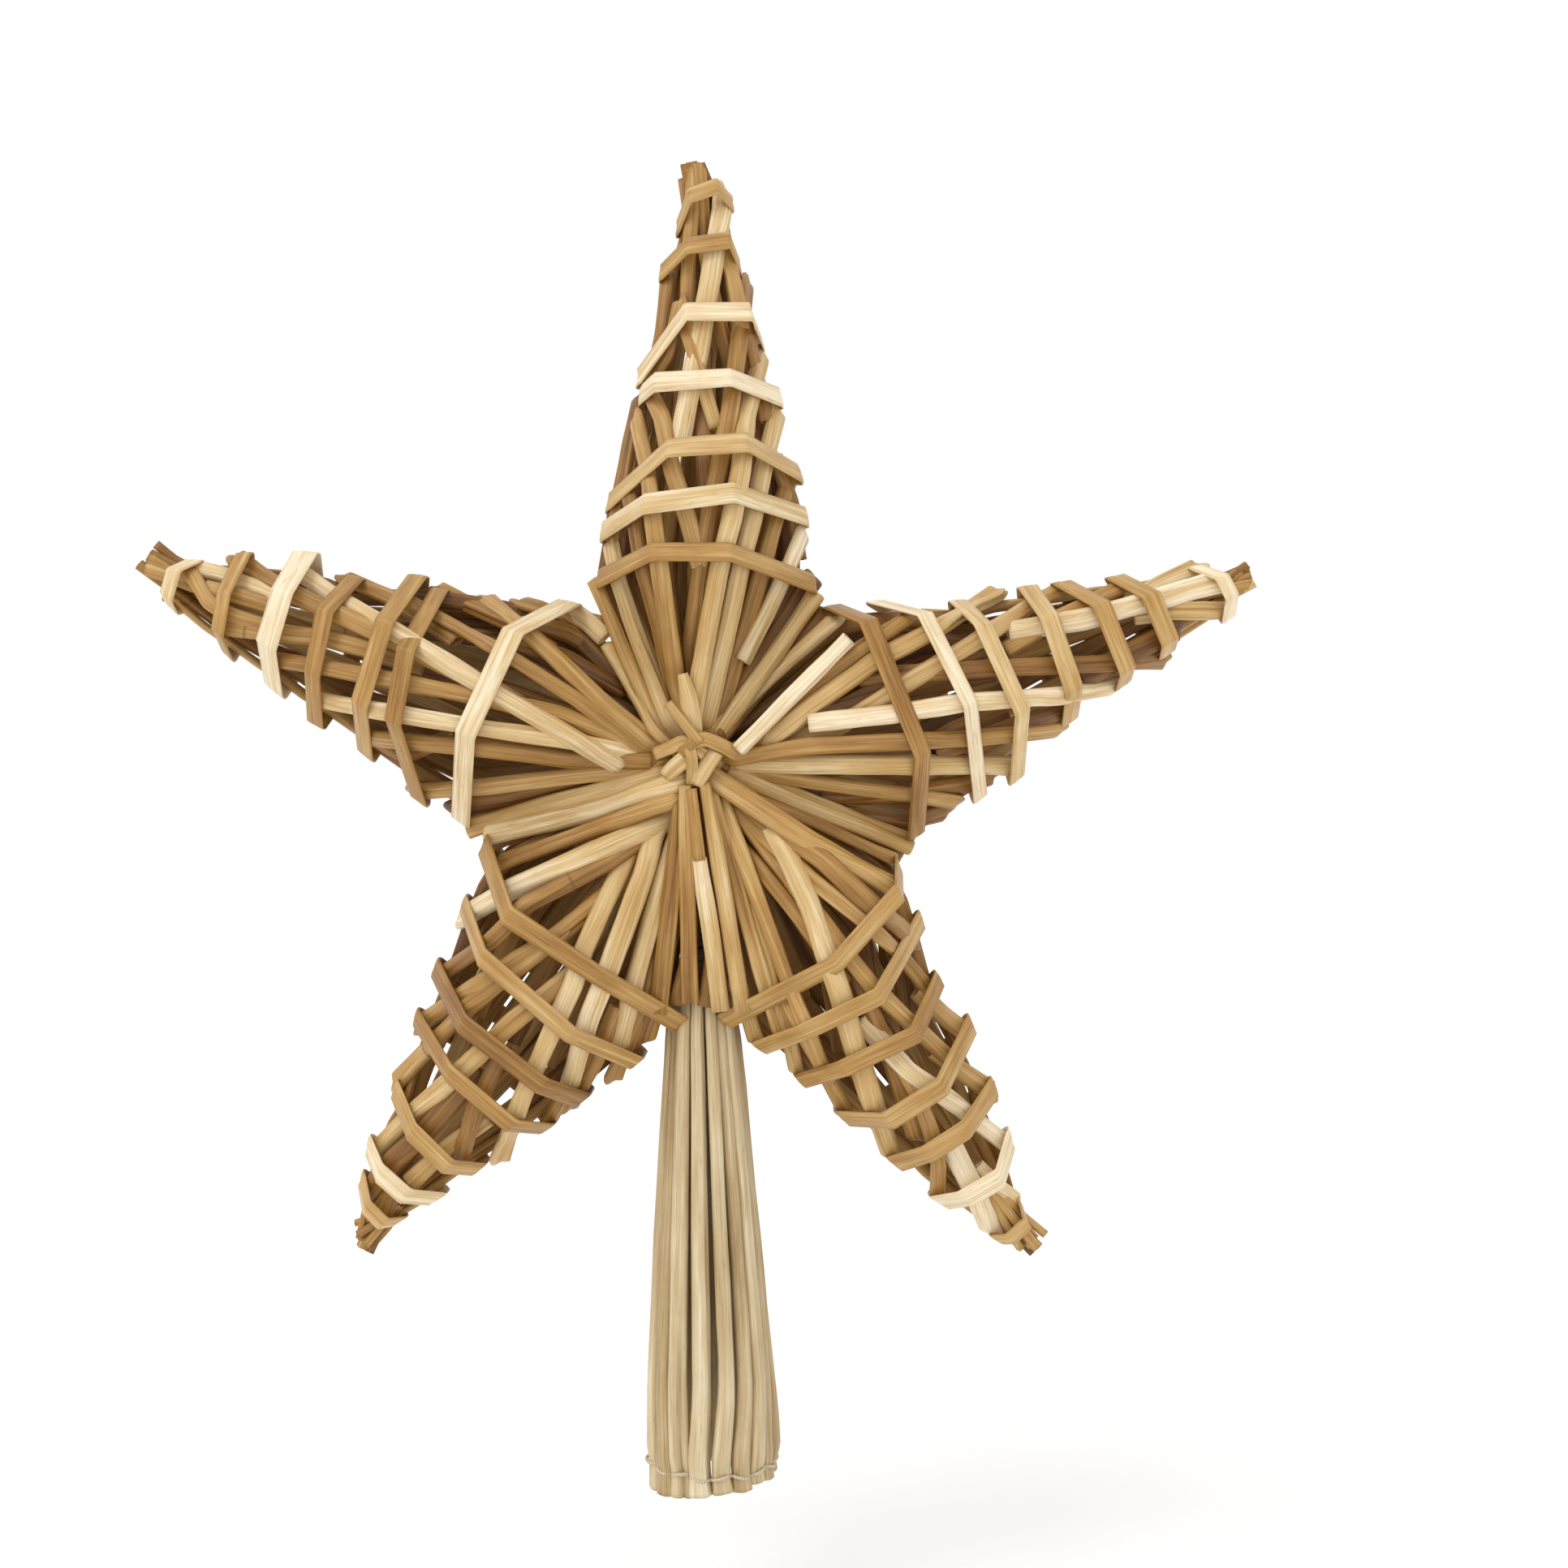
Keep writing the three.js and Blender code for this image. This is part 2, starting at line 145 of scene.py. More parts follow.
def driedStraw(name, shift, roughness, tones=strawTones):
    # dried cereal stalk, its waxy skin left on: satin, ribbed along its length, golden to cream
    material, tree = newMaterial(name)
    along = addNode(tree, "ShaderNodeUVMap", {"uv_map": "stalk"})
    tone = addNode(tree, "ShaderNodeAttribute", {"attribute_name": "tone"})

    def grain(kind, detail):
        # noise drawn out along the stalk
        scale = (1 / strawLook[kind + "Width"], 1 / strawLook[kind + "Length"], 1)
        place = addNode(tree, "ShaderNodeMapping", inputs={"Scale": scale},
                        links={"Vector": along.outputs["UV"]})
        return addNode(tree, "ShaderNodeTexNoise",
                       inputs={"Scale": 1, "Detail": detail, "Roughness": strawLook["grainRoughness"]},
                       links={"Vector": place.outputs["Vector"]})

    fibres, streaks, patches = grain("fibre", 3), grain("streak", 2), grain("patch", 3)
    total = tone.outputs["Fac"]
    for source, kind in ((fibres, "fibre"), (streaks, "streak"), (patches, "patch")):
        # the noise pushes the tone to either side
        amount = strawLook[kind + "Push"]
        push = addNode(tree, "ShaderNodeMath", {"operation": "MULTIPLY_ADD"}, {1: amount, 2: -amount / 2},
                       {0: source.outputs["Fac"]})
        total = addNode(tree, "ShaderNodeMath", {"operation": "ADD"},
                        links={0: total, 1: push.outputs["Value"]}).outputs["Value"]
    total = addNode(tree, "ShaderNodeMath", {"operation": "ADD"}, {1: shift}, {0: total}).outputs["Value"]
    ramp = addNode(tree, "ShaderNodeValToRGB", links={"Fac": total})
    setRamp(ramp, [(i / (len(tones) - 1), hexColor(color)) for i, color in enumerate(tones)])

    # short dark flecks where the skin has weathered
    fleck = addNode(tree, "ShaderNodeMapRange",
                    inputs={"From Min": strawLook["fleckStart"], "From Max": strawLook["fleckFull"]},
                    links={"Value": grain("fleck", 2).outputs["Fac"]})
    fleckShare = addNode(tree, "ShaderNodeMath", {"operation": "MULTIPLY"}, {1: strawLook["fleckShare"]},
                         {0: fleck.outputs["Result"]})
    color = addNode(tree, "ShaderNodeMix", {"data_type": "RGBA"},
                    {"B": hexColor(strawLook["fleckColor"])},
                    {"Factor": fleckShare.outputs["Value"], "A": ramp.outputs["Color"]})
    # the stalk's nodes, thin dark rings far apart
    ringPlace = addNode(tree, "ShaderNodeSeparateXYZ", links={"Vector": along.outputs["UV"]})
    ringWay = addNode(tree, "ShaderNodeMath", {"operation": "PINGPONG"}, {1: strawLook["nodeSpacing"] / 2},
                      {0: ringPlace.outputs["Y"]})
    ringShare = addNode(tree, "ShaderNodeMapRange",
                        inputs={"From Min": 0, "From Max": strawLook["nodeWidth"],
                                "To Min": strawLook["nodeShare"], "To Max": 0},
                        links={"Value": ringWay.outputs["Value"]})
    color = addNode(tree, "ShaderNodeMix", {"data_type": "RGBA"},
                    {"B": hexColor(strawLook["nodeColor"])},
                    {"Factor": ringShare.outputs["Result"], "A": color.outputs["Result"]})
    roughened = addNode(tree, "ShaderNodeMapRange",
                        inputs={"To Min": roughness - strawLook["smoother"],
                                "To Max": roughness + strawLook["rougher"]},
                        links={"Value": streaks.outputs["Fac"]})
    ribs = addNode(tree, "ShaderNodeBump",
                   inputs={"Strength": strawLook["ribStrength"], "Distance": strawLook["ribDepth"]},
                   links={"Height": fibres.outputs["Fac"]})
    shader = addNode(tree, "ShaderNodeBsdfPrincipled", inputs={"IOR": strawLook["ior"]},
                     links={"Base Color": color.outputs["Result"],
                            "Roughness": roughened.outputs["Result"],
                            "Normal": ribs.outputs["Normal"]})
    addNode(tree, "ShaderNodeOutputMaterial", links={"Surface": shader.outputs["BSDF"]})
    return material


goldenStraw = driedStraw("golden dried straw, whole stalks", 0.0, 0.45)
paleStraw = driedStraw("pale dried straw, pressed flat", 0.02, 0.42)
brownStraw = driedStraw("weathered dried straw, whole stalks", -0.06, 0.52)
greyedStraw = driedStraw("greyed dried straw, whole stalks", 0.0, 0.5, greyedTones)


cottonLook = {
    "plyWidth": 1.2 * mm,           # drawn coarser than real twist, so that it shows
    "plyLength": 0.9 * mm,
    "unevenness": 0.6,
    "shade": "A99878",
    "light": "D9CDB4",
    "bumpStrength": 0.6,
    "bumpDepth": 0.1 * mm,
    "roughness": 0.85,
}


def twistedCotton():
    # two-ply sewing cotton, undyed: matt, with the slant of its twist
    material, tree = newMaterial("undyed sewing cotton, twisted")
    along = addNode(tree, "ShaderNodeUVMap", {"uv_map": "stalk"})
    scale = (1 / cottonLook["plyWidth"], 1 / cottonLook["plyLength"], 1)
    ply = addNode(tree, "ShaderNodeMapping", inputs={"Scale": scale}, links={"Vector": along.outputs["UV"]})
    twist = addNode(tree, "ShaderNodeTexWave", {"bands_direction": "DIAGONAL"},
                    {"Scale": 1, "Distortion": cottonLook["unevenness"]}, {"Vector": ply.outputs["Vector"]})
    color = addNode(tree, "ShaderNodeMix", {"data_type": "RGBA"},
                    {"A": hexColor(cottonLook["shade"]), "B": hexColor(cottonLook["light"])},
                    {"Factor": twist.outputs["Fac"]})
    bump = addNode(tree, "ShaderNodeBump",
                   inputs={"Strength": cottonLook["bumpStrength"], "Distance": cottonLook["bumpDepth"]},
                   links={"Height": twist.outputs["Fac"]})
    shader = addNode(tree, "ShaderNodeBsdfPrincipled", inputs={"Roughness": cottonLook["roughness"]},
                     links={"Base Color": color.outputs["Result"], "Normal": bump.outputs["Normal"]})
    addNode(tree, "ShaderNodeOutputMaterial", links={"Surface": shader.outputs["BSDF"]})
    return material


sewingCotton = twistedCotton()
print("materials ready")


# Meshes. A form is a dictionary of points, faces, and for each face's corners their place on the
# stalk: across it and along it, in metres.

def emptyForm():
    return {"points": [], "faces": [], "places": [], "tones": []}


def joinForms(forms):
    whole = emptyForm()
    for form in forms:
        start = len(whole["points"])
        whole["points"] += form["points"]
        whole["faces"] += [tuple(start + i for i in face) for face in form["faces"]]
        whole["places"] += form["places"]
        whole["tones"] += form["tones"]
    return whole


def addPiece(name, form, material, nodes):
    mesh = bpy.data.meshes.new(name)
    mesh.from_pydata([tuple(point) for point in form["points"]], [], form["faces"])
    layer = mesh.uv_layers.new(name="stalk")
    flat = [value for face in form["places"] for place in face for value in place]
    layer.data.foreach_set("uv", flat)
    tone = mesh.attributes.new("tone", "FLOAT", "POINT")
    tone.data.foreach_set("value", form["tones"])
    mesh.polygons.foreach_set("use_smooth", [True] * len(mesh.polygons))
    mesh.materials.append(material)
    mesh.update()
    piece = bpy.data.objects.new(name, mesh)
    bpy.context.scene.collection.objects.link(piece)
    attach(piece, "root")
    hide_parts(*nodes)


def smoothLine(points, steps, ease=1.0):
    # a line that passes through the points, as places with their share of the way. The less ease,
    # the tighter it bends at them.
    result = []
    last = len(points) - 1
    slopes = []
    for i, point in enumerate(points):
        before, after = points[max(i - 1, 0)], points[min(i + 1, last)]
        near = min((point - before).length or 1, (after - point).length or 1)
        slopes.append((after - before).normalized() * near * ease)
    for i in range(last):
        for step in range(steps):
            t = step / steps
            a, b, c, d = 2 * t**3 - 3 * t**2 + 1, t**3 - 2 * t**2 + t, -2 * t**3 + 3 * t**2, t**3 - t**2
            result.append((points[i] * a + slopes[i] * b + points[i + 1] * c + slopes[i + 1] * d, i + t))
    result.append((points[last], float(last)))
    return result


def valueAt(values, place):
    i = min(int(place), len(values) - 2)
    return mix(values[i], values[i + 1], place - i)


def grainShift(key):
    # each stalk takes its grain, and its unevenness, from a place of its own
    return 0.4 + 0.35 * swing(key, "shift")


stalk = {
    "sides": 18,
    "steps": 4,
    "flatness": 0.62,          # how deep a pressed stalk is, as a share of its width
    "flatnessVaries": 0.2,
    "squareness": 0.82,        # below 1, the section is squarer than an ellipse
    "wall": 0.3,               # how much of the end's radius the wall takes
    "hollow": 5 * mm,          # how far the hollow at a cut end goes in
    "hollowNarrows": 1.3,      # how much thicker the wall is at its bottom
    "grooveDepth": 0.42,       # of the crease where a stalk has been pressed in
    "grooveWidth": 0.3,
    "grooved": 0.35,           # higher, more of the stalks have one
    "grooveTurn": (0.5, 0.4),  # where it runs and how much that varies, in half turns
    "unevenness": 0.06,        # how much the width changes along a stalk
    "widthChanges": 60,        # and how quickly, as noise per metre, like the rest of this kind
    "toneDrift": 0.16,         # how much the tone changes
    "toneChanges": 28,
    "pressDrift": 0.2,         # how much the pressing changes
    "pressChanges": 40,
    "creaseMean": 0.75,        # the share of its depth that the crease has on the whole, and at most
    "creaseMost": 1.3,
    "creaseDrift": 1.3,        # how much the crease's depth changes, and where it runs
    "creaseChanges": 45,
    "creaseTurn": 0.5,
    "turnChanges": 25,
    "skinDrift": 0.06,         # how much the skin waves
    "skinChanges": 120,
    "skinAround": 1.3,         # the radius in the noise that one turn round the stalk takes
    "lane": 40,                # how far apart two stalks' noise lies
    "paintedShadeInside": 0.25,       # painted shade: how much darker the colour is made in the hollow and the crease
    "firstNode": 300 * mm,     # how far along its growth a stalk is cut, which places its node
    "noNode": 110 * mm,        # short enough that the stretch used has none
    "nodeMean": 1.1,           # the mean share of either, from which each stalk differs by up to 1
}


def flatnessOf(key):
    return stalk["flatness"] * (1 + stalk["flatnessVaries"] * swing(key, "flat"))


def strawForm(points, widths, normals, tone, key, flatness=None, openStart=False, openEnd=False, groove=None,
              ease=1.0, presses=None, nodes=True):
    # a stalk along the points, pressed a little flat, with a crease along it
    line = smoothLine(points, stalk["steps"], ease)
    sides = stalk["sides"]
    flatness = flatness or flatnessOf(key)
    if groove is None:
        groove = stalk["grooveDepth"] * max(0, swing(key, "groove") + stalk["grooved"])
    middleTurn, turnVaries = stalk["grooveTurn"]
    grooveTurn = math.pi * (middleTurn + turnVaries * swing(key, "turn"))
    shiftU = grainShift(key)
    form = emptyForm()
    frames = []
    travelled = (stalk["firstNode"] if nodes else stalk["noNode"]) * (stalk["nodeMean"] + swing(key, "node"))
    for i, (place, share) in enumerate(line):
        ahead = line[min(i + 1, len(line) - 1)][0]
        behind = line[max(i - 1, 0)][0]
        along = (ahead - behind).normalized()
        if i:
            travelled += (place - behind).length
        out = valueAt(normals, share)
        out = (out - along * out.dot(along)).normalized()
        press = valueAt(presses, share) if presses else 1
        frames.append({"place": place, "along": along, "out": out, "side": along.cross(out),
                       "radius": valueAt(widths, share) / 2, "far": travelled, "press": press})

    def ring(item, scale, depth=0.0):
        # the points round the stalk at one place, and the number of the first
        place, along, out, side, radius, far, press = item.values()
        start = len(form["points"])
        spot = shiftU * stalk["lane"]

        def drift(changes, lane):
            # a smooth change along the stalk, on its own lane of the noise
            return noise.noise(Vector((far * stalk[changes], spot, lane)))

        strength = stalk["creaseMean"] + stalk["creaseDrift"] * drift("creaseChanges", 2)
        here = groove * min(max(strength, 0), stalk["creaseMost"])
        bent = grooveTurn + stalk["creaseTurn"] * drift("turnChanges", 5)
        pressed = flatness * press * (1 + stalk["pressDrift"] * drift("pressChanges", 8))
        wide = radius * scale * (1 + stalk["unevenness"] * drift("widthChanges", 11))
        shade = tone + stalk["toneDrift"] * drift("toneChanges", 14)
        for k in range(sides):
            turn = 2 * math.pi * k / sides - math.pi / 2
            x, y = (part * stalk["skinAround"] for part in (math.cos(turn), math.sin(turn)))
            around = Vector((x, y + spot, far * stalk["skinChanges"]))
            wobble = 1 + stalk["skinDrift"] * noise.noise(around)
            gap = (turn - bent + math.pi) % (2 * math.pi) - math.pi
            dent = 1 - here * math.exp(-(gap / stalk["grooveWidth"]) ** 2)
            reach = wide * wobble * dent
            x, y = (math.copysign(abs(part) ** stalk["squareness"], part)
                    for part in (math.cos(turn), math.sin(turn)))
            form["points"].append(place + along * depth + side * (x * reach) + out * (y * reach * pressed))
            # painted shade: the bottom of a cut end's hollow and the crease along the stalk are given a
            # darker tone
            form["tones"].append(shade - (stalk["paintedShadeInside"] if depth else 0)
                                 - stalk["paintedShadeInside"] * (1 - dent))
        return start

    def strip(first, second, farFirst, farSecond, radius):
        # the faces between two rings
        around = 2 * math.pi * radius
        for k in range(sides):
            after = (k + 1) % sides
            form["faces"].append((first + k, first + after, second + after, second + k))
            u0, u1 = shiftU + around * k / sides, shiftU + around * (k + 1) / sides
            form["places"].append(((u0, farFirst), (u1, farFirst), (u1, farSecond), (u0, farSecond)))

    def cap(start, far, flip):
        corners = tuple(range(start, start + sides))
        form["faces"].append(corners[::-1] if flip else corners)
        form["places"].append(tuple((shiftU + mm * math.cos(k), far) for k in range(sides)))

    meanRadius = sum(widths) / len(widths) / 2
    starts = [ring(item, 1) for item in frames]
    for i in range(len(frames) - 1):
        strip(starts[i], starts[i + 1], frames[i]["far"], frames[i + 1]["far"], meanRadius)
    for isOpen, at, towards in ((openStart, 0, 1), (openEnd, len(frames) - 1, -1)):
        item = frames[at]
        far = item["far"]
        flip = towards == 1
        inmost = starts[at]
        if isOpen:
            # the hollow of a cut end, with its rim
            rim = ring(item, 1 - stalk["wall"])
            inmost = ring(item, 1 - stalk["hollowNarrows"] * stalk["wall"], towards * stalk["hollow"])
            if flip:
                strip(rim, starts[at], far, far, meanRadius)
                strip(inmost, rim, far + stalk["hollow"], far, meanRadius)
            else:
                strip(starts[at], rim, far, far, meanRadius)
                strip(rim, inmost, far, far - stalk["hollow"], meanRadius)
        cap(inmost, far, flip)
    return form


ribbon = {
    "thickness": 0.55 * mm,
    "cornerRadius": 0.6 * mm,
    "cornerLimit": 0.4,        # share of a loop's edge that a rounded corner may take
    "columns": 7,
    "stepsPerSpot": 5,         # where a ribbon follows the picture
    "grainStart": 20 * mm,     # clear of a node
    "unevenness": 0.1,         # how much the width changes along a ribbon
    "widthChanges": 90,        # as noise per metre
    "widthLane": 50,           # how far apart two ribbons' noise lies
    "waviness": 0.22,          # how much its face waves, as a share of the thickness
    "waveChanges": 70,
    "waveAcross": 3,           # as noise from edge to edge
    "waveLane": 30,
    "edgeThickness": 0.5,      # share of the thickness left at its edges
    "edgePower": 4,            # the higher, the nearer to them it thins
}


def ribbonForm(points, normals, width, tone, key, closed=True, thickness=None, ends=None):
    # a straw pressed flat and led along the points, its face turned to the normals
    thickness = thickness or ribbon["thickness"]
    columns = ribbon["columns"]
    shiftU = grainShift(key)
    form = emptyForm()
    count = len(points)
    rows = []
    travelled = ribbon["grainStart"]
    for i, point in enumerate(points):
        ahead = points[(i + 1) % count] if closed else points[min(i + 1, count - 1)]
        behind = points[i - 1] if closed else points[max(i - 1, 0)]
        along = ((ahead - point).normalized() + (point - behind).normalized()).normalized()
        if i:
            travelled += (point - points[i - 1]).length
        out = normals[i]
        out = (out - along * out.dot(along)).normalized()
        side = out.cross(along)
        spot = Vector((travelled * ribbon["widthChanges"], shiftU * ribbon["widthLane"], 0.5))
        uneven = noise.noise(spot)
        wide = width * (1 + ribbon["unevenness"] * uneven)
        if ends is not None:
            wide *= ends[i]
        start = len(form["points"])
        for face in (1, -1):
            for k in range(columns):
                across = (k / (columns - 1) - 0.5) * face
                edge = 1 - (2 * abs(across)) ** ribbon["edgePower"]
                spot = Vector((across * ribbon["waveAcross"], travelled * ribbon["waveChanges"],
                               shiftU * ribbon["waveLane"]))
                wave = ribbon["waviness"] * noise.noise(spot)
                thick = ribbon["edgeThickness"] + (1 - ribbon["edgeThickness"]) * edge
                lift = face * thickness / 2 * thick + thickness * wave
                form["points"].append(point + side * (across * wide) + out * lift)
                form["tones"].append(tone)
        rows.append((start, travelled))
    ringSize = 2 * columns
    spans = count if closed else count - 1
    for i in range(spans):
        first, farFirst = rows[i]
        second, farSecond = rows[(i + 1) % count]
        if i + 1 == count:
            farSecond = farFirst + (points[0] - points[-1]).length
        for k in range(ringSize):
            after = (k + 1) % ringSize
            form["faces"].append((first + k, first + after, second + after, second + k))
            u0 = shiftU + width * k / columns
            u1 = shiftU + width * (k + 1) / columns
            form["places"].append(((u0, farFirst), (u1, farFirst), (u1, farSecond), (u0, farSecond)))
    if not closed:
        for start, flip in ((rows[0][0], True), (rows[-1][0], False)):
            corners = tuple(range(start, start + ringSize))
            form["faces"].append(corners[::-1] if flip else corners)
            form["places"].append(tuple((shiftU, 0.0) for _ in corners))
    return form


def roundedLoop(corners, radius, steps=3):
    # a closed line with its corners rounded off
    result = []
    for i, corner in enumerate(corners):
        before, after = corners[i - 1], corners[(i + 1) % len(corners)]
        back = min(radius, (before - corner).length * ribbon["cornerLimit"])
        ahead = min(radius, (after - corner).length * ribbon["cornerLimit"])
        start = corner + (before - corner).normalized() * back
        end = corner + (after - corner).normalized() * ahead
        for step in range(steps + 1):
            t = step / steps
            result.append(start * (1 - t) ** 2 + corner * 2 * t * (1 - t) + end * t * t)
    return result


